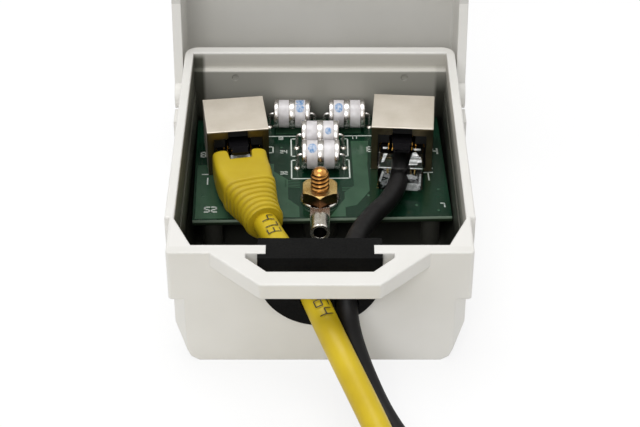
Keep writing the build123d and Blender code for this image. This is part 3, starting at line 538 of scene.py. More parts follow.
def tubeProfile():
    # Half profile from the ring's middle to the cap's dish, mirrored; each band keeps its material number
    r, c, end = tube["radius"], tube["ceramic"], tube["half"]
    ring, cap = tube["ringHalf"], tube["capStart"]
    (back, drop), (foot, sink) = tube["corner"], tube["fillet"]
    right = [
        (0, r, 0), (ring - back, r, 0), (ring, r - drop, 0), (ring, c - sink, 1), (ring + foot, c, 1),
        (cap - foot, c, 1), (cap, c - sink, 0), (cap, r - drop, 0), (cap + back, r, 0),
    ]
    right += [(end - inward, r - down, 0) for inward, down in tube["capEdge"]]
    right.append((end - tube["capEdge"][-1][0], 0, 0))
    left = [(-x, radius) for x, radius, _ in reversed(right[1:])]
    slots = [s for _, _, s in right[:-1]]
    return left + [(x, radius) for x, radius, _ in right], list(reversed(slots)) + slots


def inkGrid(mark):
    # Patch just over the sleeve: x = middle + half width * s, angle = start + half height * t / radius, where
    # s and t are rho * cos and rho * sin, each to a power with its sign kept
    middle, angle, kind = mark
    wide, high, power = tube["ink"][kind]
    rho, phi = np.meshgrid(np.linspace(0, 1, 5), np.linspace(0, 2 * np.pi, 29), indexing="ij")
    s, t = [rho * np.sign(wave) * np.abs(wave) ** power for wave in (np.cos(phi), np.sin(phi))]
    radius = tube["ceramic"] + tube["inkLift"]
    a = math.radians(angle) + high * t / radius
    return np.stack([middle + wide * s, radius * np.cos(a), radius * np.sin(a)], -1)


def makeTube(name, ceramic, ink):
    # Turned body, a bent lead out of each cap, a straight one down from the ring, and the ink on the sleeve
    low, high = nodeBox(name)
    place = np.array([*(low + high)[:2] / 2, high[2] - tube["radius"]])
    profile, slots = tubeProfile()
    pieces = [sheetMesh("body", turned(profile, tube["steps"]) + place, wrapV=True, slots=slots)]
    drop = tube["radius"] + tube["lift"] + tube["leadBelow"]
    end, bend = tube["half"] + tube["leadOut"], tube["leadBend"]
    paths = [[(0, 0, -tube["ceramic"]), (0, 0, -drop)]]
    for side in (-1, 1):
        curve = [(side * (end - bend + bend * math.sin(b)), 0, bend * (math.cos(b) - 1))
                 for b in np.linspace(0, np.pi / 2, 9)]
        paths.append([(side * (tube["half"] - tube["leadIn"]), 0, 0)] + curve + [(side * end, 0, -drop)])
    pieces += [sheetMesh("lead", pipe(path, tube["leadRadius"]) + place, wrapV=True) for path in paths]
    pieces.append(sheetMesh("ink", inkGrid(tube["marks"][name]) + place, slots=[2] * 4))
    ridePiece(name + "Look", pieces, [materials["ceramic_tube"], ceramic, ink], [name])


# Alumina sleeve, fired and ground: cool greyish white, semi-matt
ceramicLook = plainFinish("aluminaSleeve", "#DAD7D8", "#C2BDBE", 0.38, 1.8, 0.15, 0.01, IOR=1.7)
# Marking ink, stamped: patchy blue, with the sleeve showing through the strokes
inkLook = plainFinish("markingInkBlue", "#C6CCD6", "#2F78B4", 0.5, 0.6, 0.5, 0.002, IOR=1.5)
for tubeName in tube["marks"]:
    makeTube(tubeName, ceramicLook, inkLook)
print("gas tubes made")


# Ground stud with its coarse thread; below the thread its shank is a hair thinner

stud = {"radius": 2.4, "threadFrom": 16.9, "runIn": 3.0, "thinner": 0.02, "pitch": 1.2, "depth": 0.6,
        "dome": 2.6, "domeFull": 0.97, "crown": 1.4, "stepsRound": 96, "stepsUp": 240}


def threadBrass(axis, top):
    # Turned brass: painted shade in the grooves, by the distance from the axis; crests and crown keep the
    # tone
    look = {"pale": "#D9A25C", "deep": "#A87034", "cloudMm": 1.5, "grainMm": 0.15, "bumpMm": 0.006,
            # The near black brown is painted shade for the grooves
            "rough": 0.24, "groove": "#2A1606", "grooveTo": 1.95, "crestFrom": 2.25}
    material, add, shader, point, tone = newFinish("turnedCopperBrass", look, Metallic=1.0)
    place = add("SeparateXYZ", {"Vector": point})
    flat = add("CombineXYZ", {"X": place.outputs["X"], "Y": place.outputs["Y"]})
    away = add("VectorMath", {0: flat, 1: (axis[0] * mm, axis[1] * mm, 0)}, operation="DISTANCE")
    crest = add("MapRange", {
        "Value": away, "From Min": look["grooveTo"] * mm, "From Max": look["crestFrom"] * mm,
    })
    crown = add("Math", {0: place.outputs["Z"], 1: (top - stud["crown"]) * mm}, operation="GREATER_THAN")
    bright = add("Math", {0: crest, 1: crown}, operation="MAXIMUM")
    # Painted shade in the grooves, the brass tone on crests and crown
    mixed = add("Mix", {"Factor": bright, "A": linear(look["groove"]), "B": tone}, data_type="RGBA")
    setInputs(shader, {"Base Color": mixed})
    return material


def makeStud():
    # r = radius - depth * ridge, where ridge = |2 frac(z / pitch - a / turn) - 1|, kept inside a domed tip
    low, high = nodeBox("ground_stud")
    x, y = (low + high)[:2] / 2
    z = np.linspace(stud["threadFrom"] - stud["runIn"], high[2], stud["stepsUp"])
    z, a = np.meshgrid(np.concatenate([[low[2]], z]), around(stud["stepsRound"]), indexing="ij")
    phase = z / stud["pitch"] - a / (2 * np.pi)
    r = stud["radius"] - stud["depth"] * np.abs(2 * (phase % 1) - 1)
    r[z < stud["threadFrom"]] = stud["radius"] - stud["thinner"]
    into = np.clip((z - (high[2] - stud["dome"])) / stud["dome"], 0, 1)
    r = np.minimum(r, stud["radius"] * np.sqrt(np.clip(1 - into ** 2 * stud["domeFull"], 0, 1)))
    grid = np.stack([x + r * np.cos(a), y + r * np.sin(a), z], -1)
    foot, tip = [np.repeat([[[x, y, level]]], stud["stepsRound"], 1) for level in (low[2], high[2])]
    mesh = sheetMesh("groundStudLook", np.concatenate([foot, grid, tip]), wrapV=True)
    ridePiece("groundStudLook", [mesh], [threadBrass((x, y), high[2])], ["ground_stud"])


makeStud()
print("stud made")


# Ring terminal: flat ring and tongue, and a rolled barrel with its seam on top. Lengths in mm from the stud's
# axis, seamHalf in degrees; a shape is the power of its section.

terminal = {
    "hole": 2.5, "ring": 5.0, "sheet": 0.8, "tongueHalf": 2.5, "tongueFrom": 3.8, "tongueTo": 11.0,
    "flareFrom": 10.4, "barrelFrom": 12.0, "flatShape": 8.0, "tubeShape": 2.0, "bore": 1.65,
    "boreFrom": 12.4, "mouthEdge": 0.15, "seamHalf": 7.0, "seamDeep": 0.35, "stepsRound": 96,
    "stepsFlare": 14, "stepsBarrel": 10,
}


def makeTerminal():
    # Ring: rectangle turned round the stud. Barrel: the flat tongue's section swells to a round tube along -Y
    x, y = sum(nodeBox("ground_stud"))[:2] / 2
    z, t = board["top"], terminal["sheet"]
    a = around(terminal["stepsRound"])
    hole, edge = terminal["hole"], terminal["ring"]
    rim = np.array([(hole, z), (edge, z), (edge, z + t), (hole, z + t)])
    ring = np.stack([x + rim[:, :1] * np.cos(a), y + rim[:, :1] * np.sin(a), rim[:, 1:] + 0 * a], -1)
    half, near, far = terminal["tongueHalf"], y - terminal["tongueFrom"], y - terminal["tongueTo"]
    tongue = prism("tongue", oblong(x - half, x + half, far, near), z, z + t)
    low, high = nodeBox("ring_terminal")
    radius = (high[2] - z) / 2
    flare, barrelFrom = terminal["flareFrom"], terminal["barrelFrom"]
    back = np.concatenate([np.linspace(flare, barrelFrom, terminal["stepsFlare"]),
                           np.linspace(barrelFrom, y - low[1], terminal["stepsBarrel"])[1:]])[:, None]
    ease = smooth(back, flare, barrelFrom - flare)
    power = terminal["flatShape"] + (terminal["tubeShape"] - terminal["flatShape"]) * ease
    px, pz = superRing((half + (radius - half) * ease, t / 2 + (radius - t / 2) * ease), power, a)
    offSeam = np.abs((np.degrees(a) + 90) % 360 - 180)
    seam = 1 - terminal["seamDeep"] / radius * np.clip(1 - offSeam / terminal["seamHalf"], 0, 1) * ease
    middleZ = z + t / 2 + (radius - t / 2) * ease
    outer = np.stack([x + px * seam, y - back + 0 * a, middleZ + pz * seam], -1)
    bore, bevel, deepest = terminal["bore"], terminal["mouthEdge"], y - terminal["boreFrom"]
    inner = np.array([(low[1], bore + bevel), (low[1] + bevel, bore), (deepest, bore), (deepest, 0)])
    inside = np.stack([x + inner[:, 1:] * np.cos(a), inner[:, :1] + 0 * a,
                       z + radius + inner[:, 1:] * np.sin(a)], -1)
    rows = np.concatenate([np.repeat([[[x, y - flare, z + t / 2]]], a.size, 1), outer, inside])
    deep = np.zeros(len(rows) - 1, int)
    # The bore's last two rows of faces take the painted shade
    deep[-2:] = 1
    pieces = [sheetMesh("ring", ring, wrapU=True, wrapV=True), tongue,
              sheetMesh("barrel", rows, wrapV=True, slots=deep)]
    # Inside of the barrel: painted shade, near black, on the bore's faces, which are hardly lit
    dark = metalOf("paintedBoreShade", "#1C1815", "#0E0C0A", 0.5, 1, 0.3, 0.01, 0)
    ridePiece("terminalLook", pieces, [materials["tinned_copper"], dark], ["ring_terminal"])


makeTerminal()
print("terminal made")


# Print, copper and solder on the board, in mm from its middle. A number is its text, left end, foot and
# height; stroke, pitch and digitWide are shares of the height.

legend = {
    "width": 0.34, "thick": 0.05, "lift": 0.02,
    "lines": [
        [(-13.7, 14.6), (14.6, 14.2)],
        [(-5.9, 13.2), (-7.5, 13.2), (-7.5, 4.9), (-6.6, 4.9)],
        [(6.2, 12.9), (7.8, 12.9), (7.6, 4.6), (6.7, 4.6)],
        [(-6.6, 3.0), (-7.5, 3.0), (-7.6, -5.5), (7.7, -5.6), (7.8, 2.9), (6.9, 2.9)],
        [(-13.4, 9.5), (-12.4, 9.5), (-12.4, 6.7), (-13.4, 6.7)],
        [(-31.0, -2.9), (-29.1, -2.9)], [(-29.6, -4.6), (-29.6, -7.4)],
        [(13.5, -1.3), (29.6, -1.7)], [(27.3, -3.6), (29.5, -3.6)], [(28.4, -3.6), (28.4, -7.0)],
    ],
    "numbers": [
        ("13", -11.4, 13.0, 1.2), ("24", -10.4, 6.5, 1.2), ("32", -10.4, -3.4, 1.2), ("11", 8.6, 13.0, 1.2),
        ("52", -30.0, -19.6, 2.1), ("6", 12.9, 6.6, 2.2), ("3", 13.9, 6.6, 2.2), ("8", -31.6, 5.2, 2.2),
        ("4", 30.4, 5.2, 2.2), ("7", 30.6, -19.0, 1.6),
    ],
    "stroke": 0.2, "pitch": 0.85, "digitWide": 0.55,
}
segments = {"a": ((0, 2), (1, 2)), "b": ((1, 1), (1, 2)), "c": ((1, 0), (1, 1)), "d": ((0, 0), (1, 0)),
            "e": ((0, 0), (0, 1)), "f": ((0, 1), (0, 2)), "g": ((0, 1), (1, 1))}
digits = {"1": "bc", "2": "abged", "3": "abgcd", "4": "fgbc", "5": "afgcd", "6": "afgedc", "7": "abc",
          "8": "abcdefg"}
copper = {
    "thick": 0.035, "lift": 0.004, "traceOver": 0.01, "traceWidth": 0.3, "viaRadius": 0.4, "viaHigh": 0.08,
    "areas": [
        [(-32.4, -22.4), (-32.4, 1.5), (-12.2, 1.5), (-12.2, -2.0), (-8.6, -5.8), (-8.6, -14.5),
         (-5.8, -18.0), (-5.8, -22.4)],
        [(6.0, -22.4), (6.0, -18.5), (9.0, -17.6), (12.6, -11.4), (12.6, 0.6), (13.4, 11.8), (8.6, 11.8),
         (8.6, -9.0), (6.0, -12.0), (6.0, -14.6), (2.0, -22.4)],
        [(-11.6, 15.6), (-11.6, 21.8), (11.6, 21.8), (11.6, 15.6)],
    ],
    "traces": [[(-12.6, -6.2 - 0.7 * i), (-9.2, -6.2 - 0.7 * i), (-5.6, -6.6 - 0.7 * i)] for i in range(5)]
    + [[(5.6, -9.8 - 0.7 * i), (9.4, -9.8 - 0.7 * i)] for i in range(3)],
    "vias": [(-27.5, -20.2), (-20.1, -12.7), (-11.4, -12.9), (-8.8, -16.6), (12.2, -13.4), (19.5, -9.8),
             (24.3, -18.0), (30.4, -11.2), (-30.6, -12.4), (10.2, 8.0), (-10.1, 9.2), (29.8, -20.4)],
}
solder = {"radius": 0.95, "high": 0.55}


def unit(vector):
    # The same way, one long
    return vector / np.linalg.norm(vector)


def strokeOutline(start, end, width):
    # A stroke with square ends: both points pushed out by half a width, then given that width
    start, end = np.array(start, float), np.array(end, float)
    way = unit(end - start) * width / 2
    side = np.array([-way[1], way[0]])
    corners = [start - way - side, end + way - side, end + way + side, start - way + side]
    return [onBoard(*corner) for corner in corners]


def digitStrokes(number, left, foot, wide, high, pitch):
    # Both ends of each stroke of a number, by seven segments: left + a * wide, foot + b * half the height
    return [[(left + index * pitch + a * wide, foot + b * high / 2) for a, b in segments[key]]
            for index, digit in enumerate(number) for key in digits[digit]]


def makeLegend():
    # Lines and numbers as flat strokes that stand a little above the board
    strokes = []
    for line in legend["lines"]:
        strokes += [(a, b, legend["width"]) for a, b in zip(line, line[1:])]
    for number, left, foot, high in legend["numbers"]:
        size = high * legend["digitWide"], high, high * legend["pitch"]
        strokes += [(a, b, high * legend["stroke"]) for a, b in digitStrokes(number, left, foot, *size)]
    low = board["top"] + legend["lift"]
    plates = [prism("stroke", strokeOutline(a, b, w), low, low + legend["thick"]) for a, b, w in strokes]
    # Screen-printed legend: white epoxy ink, matt, a little thin in places
    ink = plainFinish("legendInkWhite", "#E4E8E2", "#B9C2BA", 0.6, 0.6, 0.4, 0.004, IOR=1.5)
    ridePiece("boardLegend", plates, [ink])


def domeAt(name, x, y, z, radius, height, steps=18):
    # Low dome: r = radius cos t, height sin t
    t = np.linspace(0, np.pi / 2, 7)[:, None]
    a = around(steps)
    r, up = radius * np.cos(t), height * np.sin(t) + 0 * a
    return sheetMesh(name, np.stack([x + r * np.cos(a), y + r * np.sin(a), z + up], -1), wrapV=True)


def makeCopper():
    # Areas and traces raised by the copper's thickness under the mask, with a low dome over each via
    low = board["top"] + copper["lift"]
    high = low + copper["thick"]
    plates = [prism("pour", [onBoard(u, v) for u, v in area], low, high) for area in copper["areas"]]
    for line in copper["traces"]:
        plates += [prism("trace", strokeOutline(a, b, copper["traceWidth"]), low, high + copper["traceOver"])
                   for a, b in zip(line, line[1:])]
    plates += [domeAt("via", *onBoard(u, v), high, copper["viaRadius"], copper["viaHigh"], 12)
               for u, v in copper["vias"]]
    # Solder mask over copper: the same green, lighter where the metal below sends light back
    mask = plainFinish("maskOverCopper", "#375641", "#2D4A37", 0.2, 6, 0.6, 0.01, IOR=1.5,
                       Specular_IOR_Level=0.3)
    ridePiece("boardCopper", plates, [mask])


def makeSolder():
    # A fillet of solder round each of the tubes' leads
    domes = []
    offset = tube["half"] + tube["leadOut"]
    for name in tube["marks"]:
        x, y = sum(nodeBox(name))[:2] / 2
        domes += [domeAt("joint", x + side * offset, y, board["top"], solder["radius"], solder["high"])
                  for side in (-1, 0, 1)]
    ridePiece("solderJoints", domes, [materials["tinned_copper"]])


makeLegend()
makeCopper()
makeSolder()
print("board dressed")


# Plain numbers printed along the yellow lead: a group is its run of the route, its text and its shift in mm

leadPrint = {"groups": [(0, "473", 0), (1, "52", 0), (3, "864", -6.2)], "high": 3.3, "wide": 1.8,
             "pitch": 2.7, "stroke": 0.3, "lift": 0.22}


def onLead(run, along, aside):
    # A point over the lead: middle of a run of its route + along * way + radius (cos up + sin side)
    start, end = (np.array(yellowLead["route"][i], float) for i in (run, run + 1))
    way = unit(end - start)
    up = unit(np.array([0, 0, 1.0]) - way[2] * way)
    side = np.cross(up, way)
    radius = yellowLead["diameter"] / 2 + leadPrint["lift"]
    turn = (aside / radius)[..., None]
    return (start + end) / 2 + along[..., None] * way + radius * (np.cos(turn) * up + np.sin(turn) * side)


def makePrint():
    # Each stroke of a number is a strip that follows the round of the lead
    sheets = []
    wide, high, pitch = leadPrint["wide"], leadPrint["high"], leadPrint["pitch"]
    share, side = np.meshgrid(np.linspace(0, 1, 6), [-0.5, 0.5], indexing="ij")
    for run, number, shift in leadPrint["groups"]:
        left = shift - (len(number) - 1) / 2 * pitch - wide / 2
        for start, end in np.array(digitStrokes(number, left, -high / 2, wide, high, pitch)):
            way = unit(end - start)
            across = np.array([-way[1], way[0]]) * leadPrint["stroke"]
            flat = start + share[..., None] * (end - start) + side[..., None] * across
            sheets.append(sheetMesh("ink", onLead(run, flat[..., 0], flat[..., 1])))
    # Ink-jet print on the jacket: dull black, soaked a little into the vinyl
    ink = plainFinish("jetInkBlack", "#3A3018", "#12110C", 0.5, 0.5, 0.4, 0.002, IOR=1.5)
    return ridePiece("leadPrint", sheets, [ink])


printOnLead = makePrint()
print("lead printed")


# Jack shields, folded from sheet. Yaw in degrees: neither jack sits quite square on the board.

jack = {
    "half": 8.05, "depth": 16.0, "height": 13.4, "sheet": 0.3, "windowHalf": 6.3, "windowLow": 0.8,
    "windowHigh": 11.0, "notchHalf": 2.5, "bend": 0.12, "yaw": {"left": 7.4, "right": -4.1},
}


def onJack(side, points):
    # From the jack's frame (origin at the middle of its face on the board, y into the jack) to the case's
    low, high = nodeBox(side + "_jack_shield")
    x, y = (low + high)[:2] / 2
    turn = math.radians(jack["yaw"][side])
    c, n = math.cos(turn), math.sin(turn)
    px, py, pz = np.moveaxis(np.asarray(points, float), -1, 0)
    py = py - jack["depth"] / 2
    return np.stack([x + px * c - py * n, y + px * n + py * c, low[2] + pz], -1)


def slab(name, outline, low, high, axis, side):
    # A prism in the frame of one jack
    return prism(name, outline, low, high, axis, lambda points: onJack(side, points))


def makeShield(side, faceShade):
    # Face with the plug's window and the latch's notch, then roof, sides and back, each one sheet thick
    h, d, top, t = jack["half"], jack["depth"], jack["height"], jack["sheet"]
    wh, w0, w1, nh = jack["windowHalf"], jack["windowLow"], jack["windowHigh"], jack["notchHalf"]
    face = [(-h, 0), (h, 0), (h, top - t), (nh, top - t), (nh, w1), (wh, w1), (wh, w0), (-wh, w0), (-wh, w1),
            (-nh, w1), (-nh, top - t), (-h, top - t)]
    front = slab("face", face, 0, t, "y", side)
    # The face takes the painted shade
    front.polygons.foreach_set("material_index", np.ones(len(front.polygons), np.int32))
    slabs = [
        front,
        slab("roof", oblong(-h, h, 0, d), top - t, top, "z", side),
        slab("leftSide", oblong(t, d, 0, top - t), -h, t - h, "x", side),
        slab("rightSide", oblong(t, d, 0, top - t), h - t, h, "x", side),
        slab("back", oblong(t - h, h - t, 0, top - t), d - t, d, "y", side),
    ]
    obj = ridePiece(side + "ShieldLook", slabs, [materials["nickel_sheet"], faceShade],
                    [side + "_jack_shield"])
    bend = obj.modifiers.new("bend", "BEVEL")
    bend.width = jack["bend"] * mm
    bend.segments = 2
    bend.limit_method = "ANGLE"


# The jack's face: the shield's sheet in painted shade, olive brown
faceShade = metalOf("shieldFaceShade", "#6B6048", "#4F4838", 0.34, 5, 0.25, 0.01, 0.05)
for side in jack["yaw"]:
    makeShield(side, faceShade)
print("shields made")


# The two clear plugs in the box, with latches and painted glints, in mm in the jack's frame. wide and slim
# are the
# two parts of the latch: from, to and half width.

plug = {
    "half": 5.85, "bottom": 1.6, "top": 8.2, "rear": -11.2, "nose": 10.3, "corner": 0.4, "thick": 0.05,
    "under": 0.01, "latchTip": (10.1, 8.45), "latchRoot": (7.1, 8.45), "latchTail": (-6.6, 10.2),
    "latchThick": 0.9, "sink": 0.3, "stemHalf": 1.7, "wide": (4.0, -2.4, 2.55), "slim": (-2.4, -6.6, 2.1),
    "hookDeep": 0.8,
    # Painted glints, each an outline in the jack's frame: on the left plug's top, and on the right plug's top
    # and rear
    "leftGlints": [[(-2.4, -5.4), (2.7, -5.4), (2.6, -3.4), (-2.3, -3.4)]],
    "topGlints": [
        [(3.0, -1.7), (4.9, -1.7), (4.9, -2.4), (3.2, -2.5)],
        [(2.9, -3.6), (3.7, -3.4), (4.6, -5.2), (2.6, -5.4)],
        [(2.5, -5.7), (5.0, -5.5), (5.1, -6.1), (2.4, -6.3)],
        [(2.3, -6.7), (5.2, -6.6), (5.3, -7.9), (2.1, -8.2)],
        [(2.1, -8.6), (4.4, -8.5), (4.0, -9.1), (2.0, -9.2)],
        [(-4.9, -1.5), (-3.6, -1.5), (-3.9, -2.2), (-4.9, -2.3)],
        [(-4.6, -4.6), (-3.6, -4.4), (-4.4, -8.2), (-5.1, -8.6)],
        [(-5.6, -10.7), (-2.4, -10.7), (-2.4, -11.0), (-5.6, -11.0)],
        [(2.4, -10.6), (5.6, -10.6), (5.6, -10.9), (2.4, -10.9)],
    ],
    "rearGlints": [
        [(1.2, 5.3), (4.0, 5.1), (4.3, 6.0), (2.6, 6.6), (1.2, 6.4)],
        [(4.7, 3.4), (5.3, 3.0), (5.3, 6.9), (4.9, 6.9)],
        [(-0.1, 1.7), (4.4, 1.6), (5.2, 2.2), (5.0, 3.8), (0.6, 4.0)],
        [(-5.5, 4.4), (-5.1, 4.0), (-4.2, 7.0), (-4.7, 7.4)],
    ],
}


def makePlug(side, replaced):
    # Block with its long corners cut off; the latch rises in a straight line from the nose to its tail
    half, low, high, cut = plug["half"], plug["bottom"], plug["top"], plug["corner"]
    section = [(cut - half, low), (half - cut, low), (half, low + cut), (half, high - cut),
               (half - cut, high), (cut - half, high), (-half, high - cut), (-half, low + cut)]
    (tip, tipZ), (root, rootZ), (tail, tailZ) = plug["latchTip"], plug["latchRoot"], plug["latchTail"]
    sunk, tailTop, deep = high - plug["sink"], tailZ + plug["latchThick"], plug["hookDeep"]
    stem = [(tip - plug["sink"], sunk), (tip, tipZ), (tail, tailTop), (tail, tailZ), (root, rootZ),
            (root, sunk)]
    slope = (tailTop - tipZ) / (tip - tail)
    pieces = [slab("block", section, plug["rear"], plug["nose"], "y", side),
              slab("stem", stem, -plug["stemHalf"], plug["stemHalf"], "x", side)]
    for start, end, halfWide in (plug["wide"], plug["slim"]):
        startZ, endZ = (tipZ + (tip - y) * slope + plug["under"] for y in (start, end))
        outline = [(start, startZ - deep), (start, startZ), (end, endZ), (end, endZ - deep)]
        pieces.append(slab("hook", outline, -halfWide, halfWide, "x", side))
    return ridePiece(side + "PlugLook", pieces, [materials["clear_plastic"]], [replaced])


def makeGlints():
    # Painted glints: thin near white plates that reach a hair into the plug, on its top, and on its rear
    thick, under = plug["thick"], plug["under"]
    top, rear = (plug["top"] - under, plug["top"] + thick), (plug["rear"] - thick, plug["rear"] + under)
    right = [slab("glintPlate", outline, *top, "z", "right") for outline in plug["topGlints"]]
    right += [slab("glintPlate", outline, *rear, "y", "right") for outline in plug["rearGlints"]]
    left = [slab("glintPlate", outline, *top, "z", "left") for outline in plug["leftGlints"]]
    # Painted highlights: near white plates that stand in for the light a clear plug throws back
    glintWhite = plainFinish("paintedPlugGlints", "#FFFFFF", "#9DA4A2", 0.25, 1.6, 0.4, 0.05, IOR=1.5,
                          Transmission_Weight=0.2)
    return [ridePiece(name, plates, [glintWhite])
            for name, plates in (("leftPlugGlints", left), ("rightPlugGlints", right))]


leftPlug = makePlug("left", "yellow_plug_body")
rightPlug = makePlug("right", "black_plug_body")
leftGlints, rightGlints = makeGlints()
print("plugs made")


# The grommet's slits are pinched shut over the leads, each above one run of its lead's route

slit = {"half": 0.08, "rear": -39.75, "front": -47.25, "top": 31.98, "gap": 0.3,
        "leads": [(yellowLead, 2), (blackLead, 5)]}


def makeSlits():
    # A thin upright prism of rubber from just over the lead to the top of the slot
    slits = []
    for lead, run in slit["leads"]:
        x, _, z = (np.array(lead["route"][run]) + lead["route"][run + 1]) / 2
        outline = oblong(x - slit["half"], x + slit["half"], slit["front"], slit["rear"])
        slits.append(prism("slit", outline, z + lead["diameter"] / 2 + slit["gap"], slit["top"]))
    ridePiece("grommetSlits", slits, [materials["black_rubber"]])


makeSlits()
print("slits made")


# Boots of the yellow lead in mm, taper and rings as shares of the length; a shape is the power of its section

boot = {
    "front": (14.2, 9.4), "tail": 9.2, "frontShape": 6.0, "tailShape": 2.0, "taperFrom": 0.28,
    "taperOver": 0.66, "start": -3.0, "centre": 4.9, "leadIn": 9.0, "farLength": 26.7,
    "plugHalf": (5.86, 3.32), "pocket": 6.0, "pocketShape": 8.0, "notchHalf": 3.05, "notchEnd": 4.2,
    "notchStep": 0.2, "lobeRound": 1.3,
    "ringFrom": 0.47, "ringTo": 0.97, "rings": 7, "ringRise": 0.45, "grooveShare": 0.26, "grooveDeep": 2.4,
    "tailRound": 0.3, "tailHole": 2.9, "stepsFront": 12, "stepsLong": 260, "stepsRound": 176,
}


def makeBoot(name, start, way, end, endWay, replaced):
    # Section carried along a Bezier curve: wide and square at the plug, round at the lead, with rings round
    # the tail; the front edge is drawn back over the latch, and the front is a pocket for the plug
    first, second = start + way * boot["leadIn"], end - endWay * boot["leadIn"]
    length = np.linalg.norm(end - start)
    a = around(boot["stepsRound"])

    def walk(share):
        # Point of the cubic curve, and the two ways across it: along x Z, and that x along
        t = share[..., None]
        rest = 1 - t
        point = rest ** 3 * start + 3 * rest ** 2 * t * first + 3 * rest * t ** 2 * second + t ** 3 * end
        along = rest ** 2 * (first - start) + 2 * rest * t * (second - first) + t ** 2 * (end - second)
        along = along / np.linalg.norm(along, axis=-1, keepdims=True)
        across = np.cross(along, [0, 0, 1.0])
        across /= np.linalg.norm(across, axis=-1, keepdims=True)
        return point, across, np.cross(across, along)

    def ring(share, half, power):
        # point + x * across + z * up, with x and z on a rounded rectangle
        x, z = superRing(half, power, a)
        point, across, up = walk(share)
        return point + x[..., None] * across + z[..., None] * up

    # Front edge, as a share of the length: a rounded notch over the latch, in the upper half
    x, z = superRing([w / 2 for w in boot["front"]], boot["frontShape"], a)
    lobe = boot["lobeRound"]
    near = lobe - np.clip(np.abs(x) - boot["notchHalf"], 0, lobe)
    drawn = np.where(np.abs(x) < boot["notchHalf"], boot["notchEnd"], lobe - np.sqrt(lobe ** 2 - near ** 2))
    edge = np.where(z > 0, drawn, 0) / length

    # Outside: half size and shape go over from the plug's to the lead's; the tail rises, but for its grooves
    bodyFrom = (boot["notchEnd"] + boot["notchStep"]) / length
    front = np.linspace(0, 1, boot["stepsFront"])[:-1, None]
    body = np.linspace(bodyFrom, 1, boot["stepsLong"])[:, None]
    share = np.concatenate([edge + front * (bodyFrom - edge), body + 0 * edge])
    ease = smooth(share, boot["taperFrom"], boot["taperOver"])
    half = [(w + (boot["tail"] - w) * ease) / 2 for w in boot["front"]]
    power = boot["frontShape"] + (boot["tailShape"] - boot["frontShape"]) * np.sqrt(ease)
    phase = (share - boot["ringFrom"]) / (boot["ringTo"] - boot["ringFrom"]) * boot["rings"]
    inRings = (phase > 0) & (phase < boot["rings"])
    groove = np.clip(1 - np.abs(phase - np.round(phase)) / boot["grooveShare"], 0, 1)
    rise = np.where(inRings, boot["ringRise"] * (1 - boot["grooveDeep"] * groove), 0)
    outer = ring(share, [h + rise for h in half], power)

    # Pocket for the plug at the front, rounded end with the lead's hole at the tail
    inner = np.full((1, a.size), boot["pocket"] / length)
    lip = [ring(place, boot["plugHalf"], boot["pocketShape"]) for place in (inner, edge[None])]
    tail = [ring(np.ones((1, a.size)), (r, r), boot["tailShape"])
            for r in (boot["tail"] / 2 - boot["tailRound"], boot["tailHole"])]
    last = np.repeat(end[None, None], a.size, 1)
    mesh = sheetMesh(name, np.concatenate([walk(inner)[0], *lip, outer, *tail, last]), wrapV=True)
    return ridePiece(name, [mesh], [materials["yellow_boot"]], [replaced])


nearStart, nearNext = onJack("left", [(0, boot["start"] - step, boot["centre"]) for step in (0, 1)])
nearEnd, nearOut = (np.array(yellowLead["route"][i], float) for i in (0, 1))
nearBoot = makeBoot("nearBoot", nearStart, nearNext - nearStart, nearEnd, unit(nearOut - nearEnd),
                    "yellow_plug_boot")
farLow, farHigh = nodeBox("yellow_far_plug_boot")
farX, farZ = (farLow + farHigh)[[0, 2]] / 2
farEnd, farWay = np.array([farX, farHigh[1], farZ]), np.array([0, 1.0, 0])
farBoot = makeBoot("farBoot", farEnd - farWay * boot["farLength"], farWay, farEnd, farWay,
                   "yellow_far_plug_boot")
print("boots made")


# Floor, backdrop and light

stage = {"floorHalf": 3.0, "floor": "#F4F4F3", "floorRough": 0.8, "whiteShare": 0.8, "sky": "#F2F3F5",
         "skyPower": 0.55}
lamps = {
    "overhead": {"place": (-0.1, 0.15, 1.1), "aim": (0, 0, 0), "size": 0.9, "power": 7.8},
    "frontFill": {"place": (-0.22, -0.92, 0.66), "aim": (0, 0, 0.02), "size": 0.6, "power": 3.9},
}


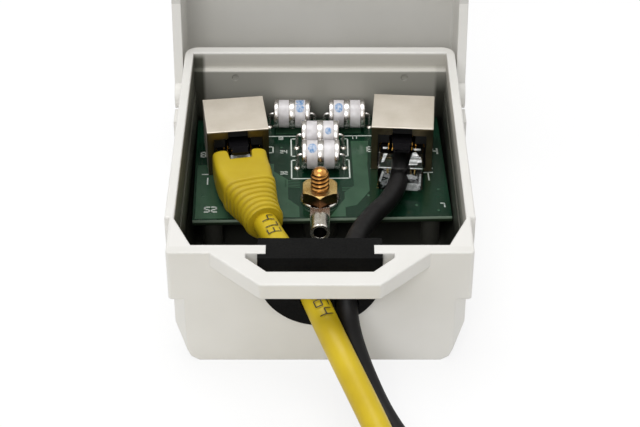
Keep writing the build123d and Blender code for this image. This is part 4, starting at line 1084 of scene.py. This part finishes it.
def whiteForView(plain, output, share):
    # Camera, mirror and glass rays see share * white + (1 - share) * plain; light itself falls on the plain
    add = partial(addNode, output.id_data)
    path = add("LightPath")
    seen = 0.0
    for ray in ("Is Camera Ray", "Is Glossy Ray", "Is Transmission Ray"):
        seen = add("Math", {0: seen, 1: path.outputs[ray]}, operation="ADD", use_clamp=True)
    amount = add("Math", {0: seen, 1: share}, operation="MULTIPLY")
    white = add("Emission", {"Color": (1, 1, 1, 1), "Strength": 1.0})
    mixed = add("MixShader", {0: amount, 1: plain, 2: white})
    setInputs(output, {"Surface": mixed})


def makeFloor():
    # One wide square at height 0
    half = stage["floorHalf"]
    mesh = bpy.data.meshes.new("floor")
    corners = [(-half, -half, 0), (half, -half, 0), (half, half, 0), (-half, half, 0)]
    mesh.from_pydata(corners, [], [(0, 1, 2, 3)])
    obj = addObject("floor", mesh)
    material = bpy.data.materials.new("floorPale")
    material.use_nodes = True
    shader, output = [material.node_tree.nodes[kind] for kind in ("Principled BSDF", "Material Output")]
    setInputs(shader, {"Roughness": stage["floorRough"], "Base Color": linear(stage["floor"])})
    whiteForView(shader, output, stage["whiteShare"])
    mesh.materials.append(material)


def makeWorld():
    # Even pale light from all round, plain white to the view
    world = bpy.data.worlds.new("studio")
    bpy.context.scene.world = world
    world.use_nodes = True
    background, output = [world.node_tree.nodes[kind] for kind in ("Background", "World Output")]
    setInputs(background, {"Color": linear(stage["sky"]), "Strength": stage["skyPower"]})
    whiteForView(background, output, 1.0)


def makeLamps():
    # Round lamps, each turned so that its -Z points from its place to its aim
    for name, lamp in lamps.items():
        data = bpy.data.lights.new(name, "AREA")
        data.shape = "DISK"
        data.size = lamp["size"]
        data.energy = lamp["power"]
        obj = addObject(name, data)
        obj.location = lamp["place"]
        way = Vector(lamp["aim"]) - Vector(lamp["place"])
        obj.rotation_euler = way.to_track_quat("-Z", "Y").to_euler()


makeFloor()
makeWorld()
makeLamps()
bpy.context.scene.view_settings.view_transform = "Standard"
print("stage made")


yellowOn, blackOn = [
    [obj for name, obj in nodes.items()
     if name.startswith(colour) and name.split("_")[-1] in ("body", "contacts", "boot", "tie")]
    for colour in ("yellow_", "black_")
]
yellowOn += [printOnLead, nearBoot, farBoot, leftPlug, leftGlints]
blackOn += [rightPlug, rightGlints]
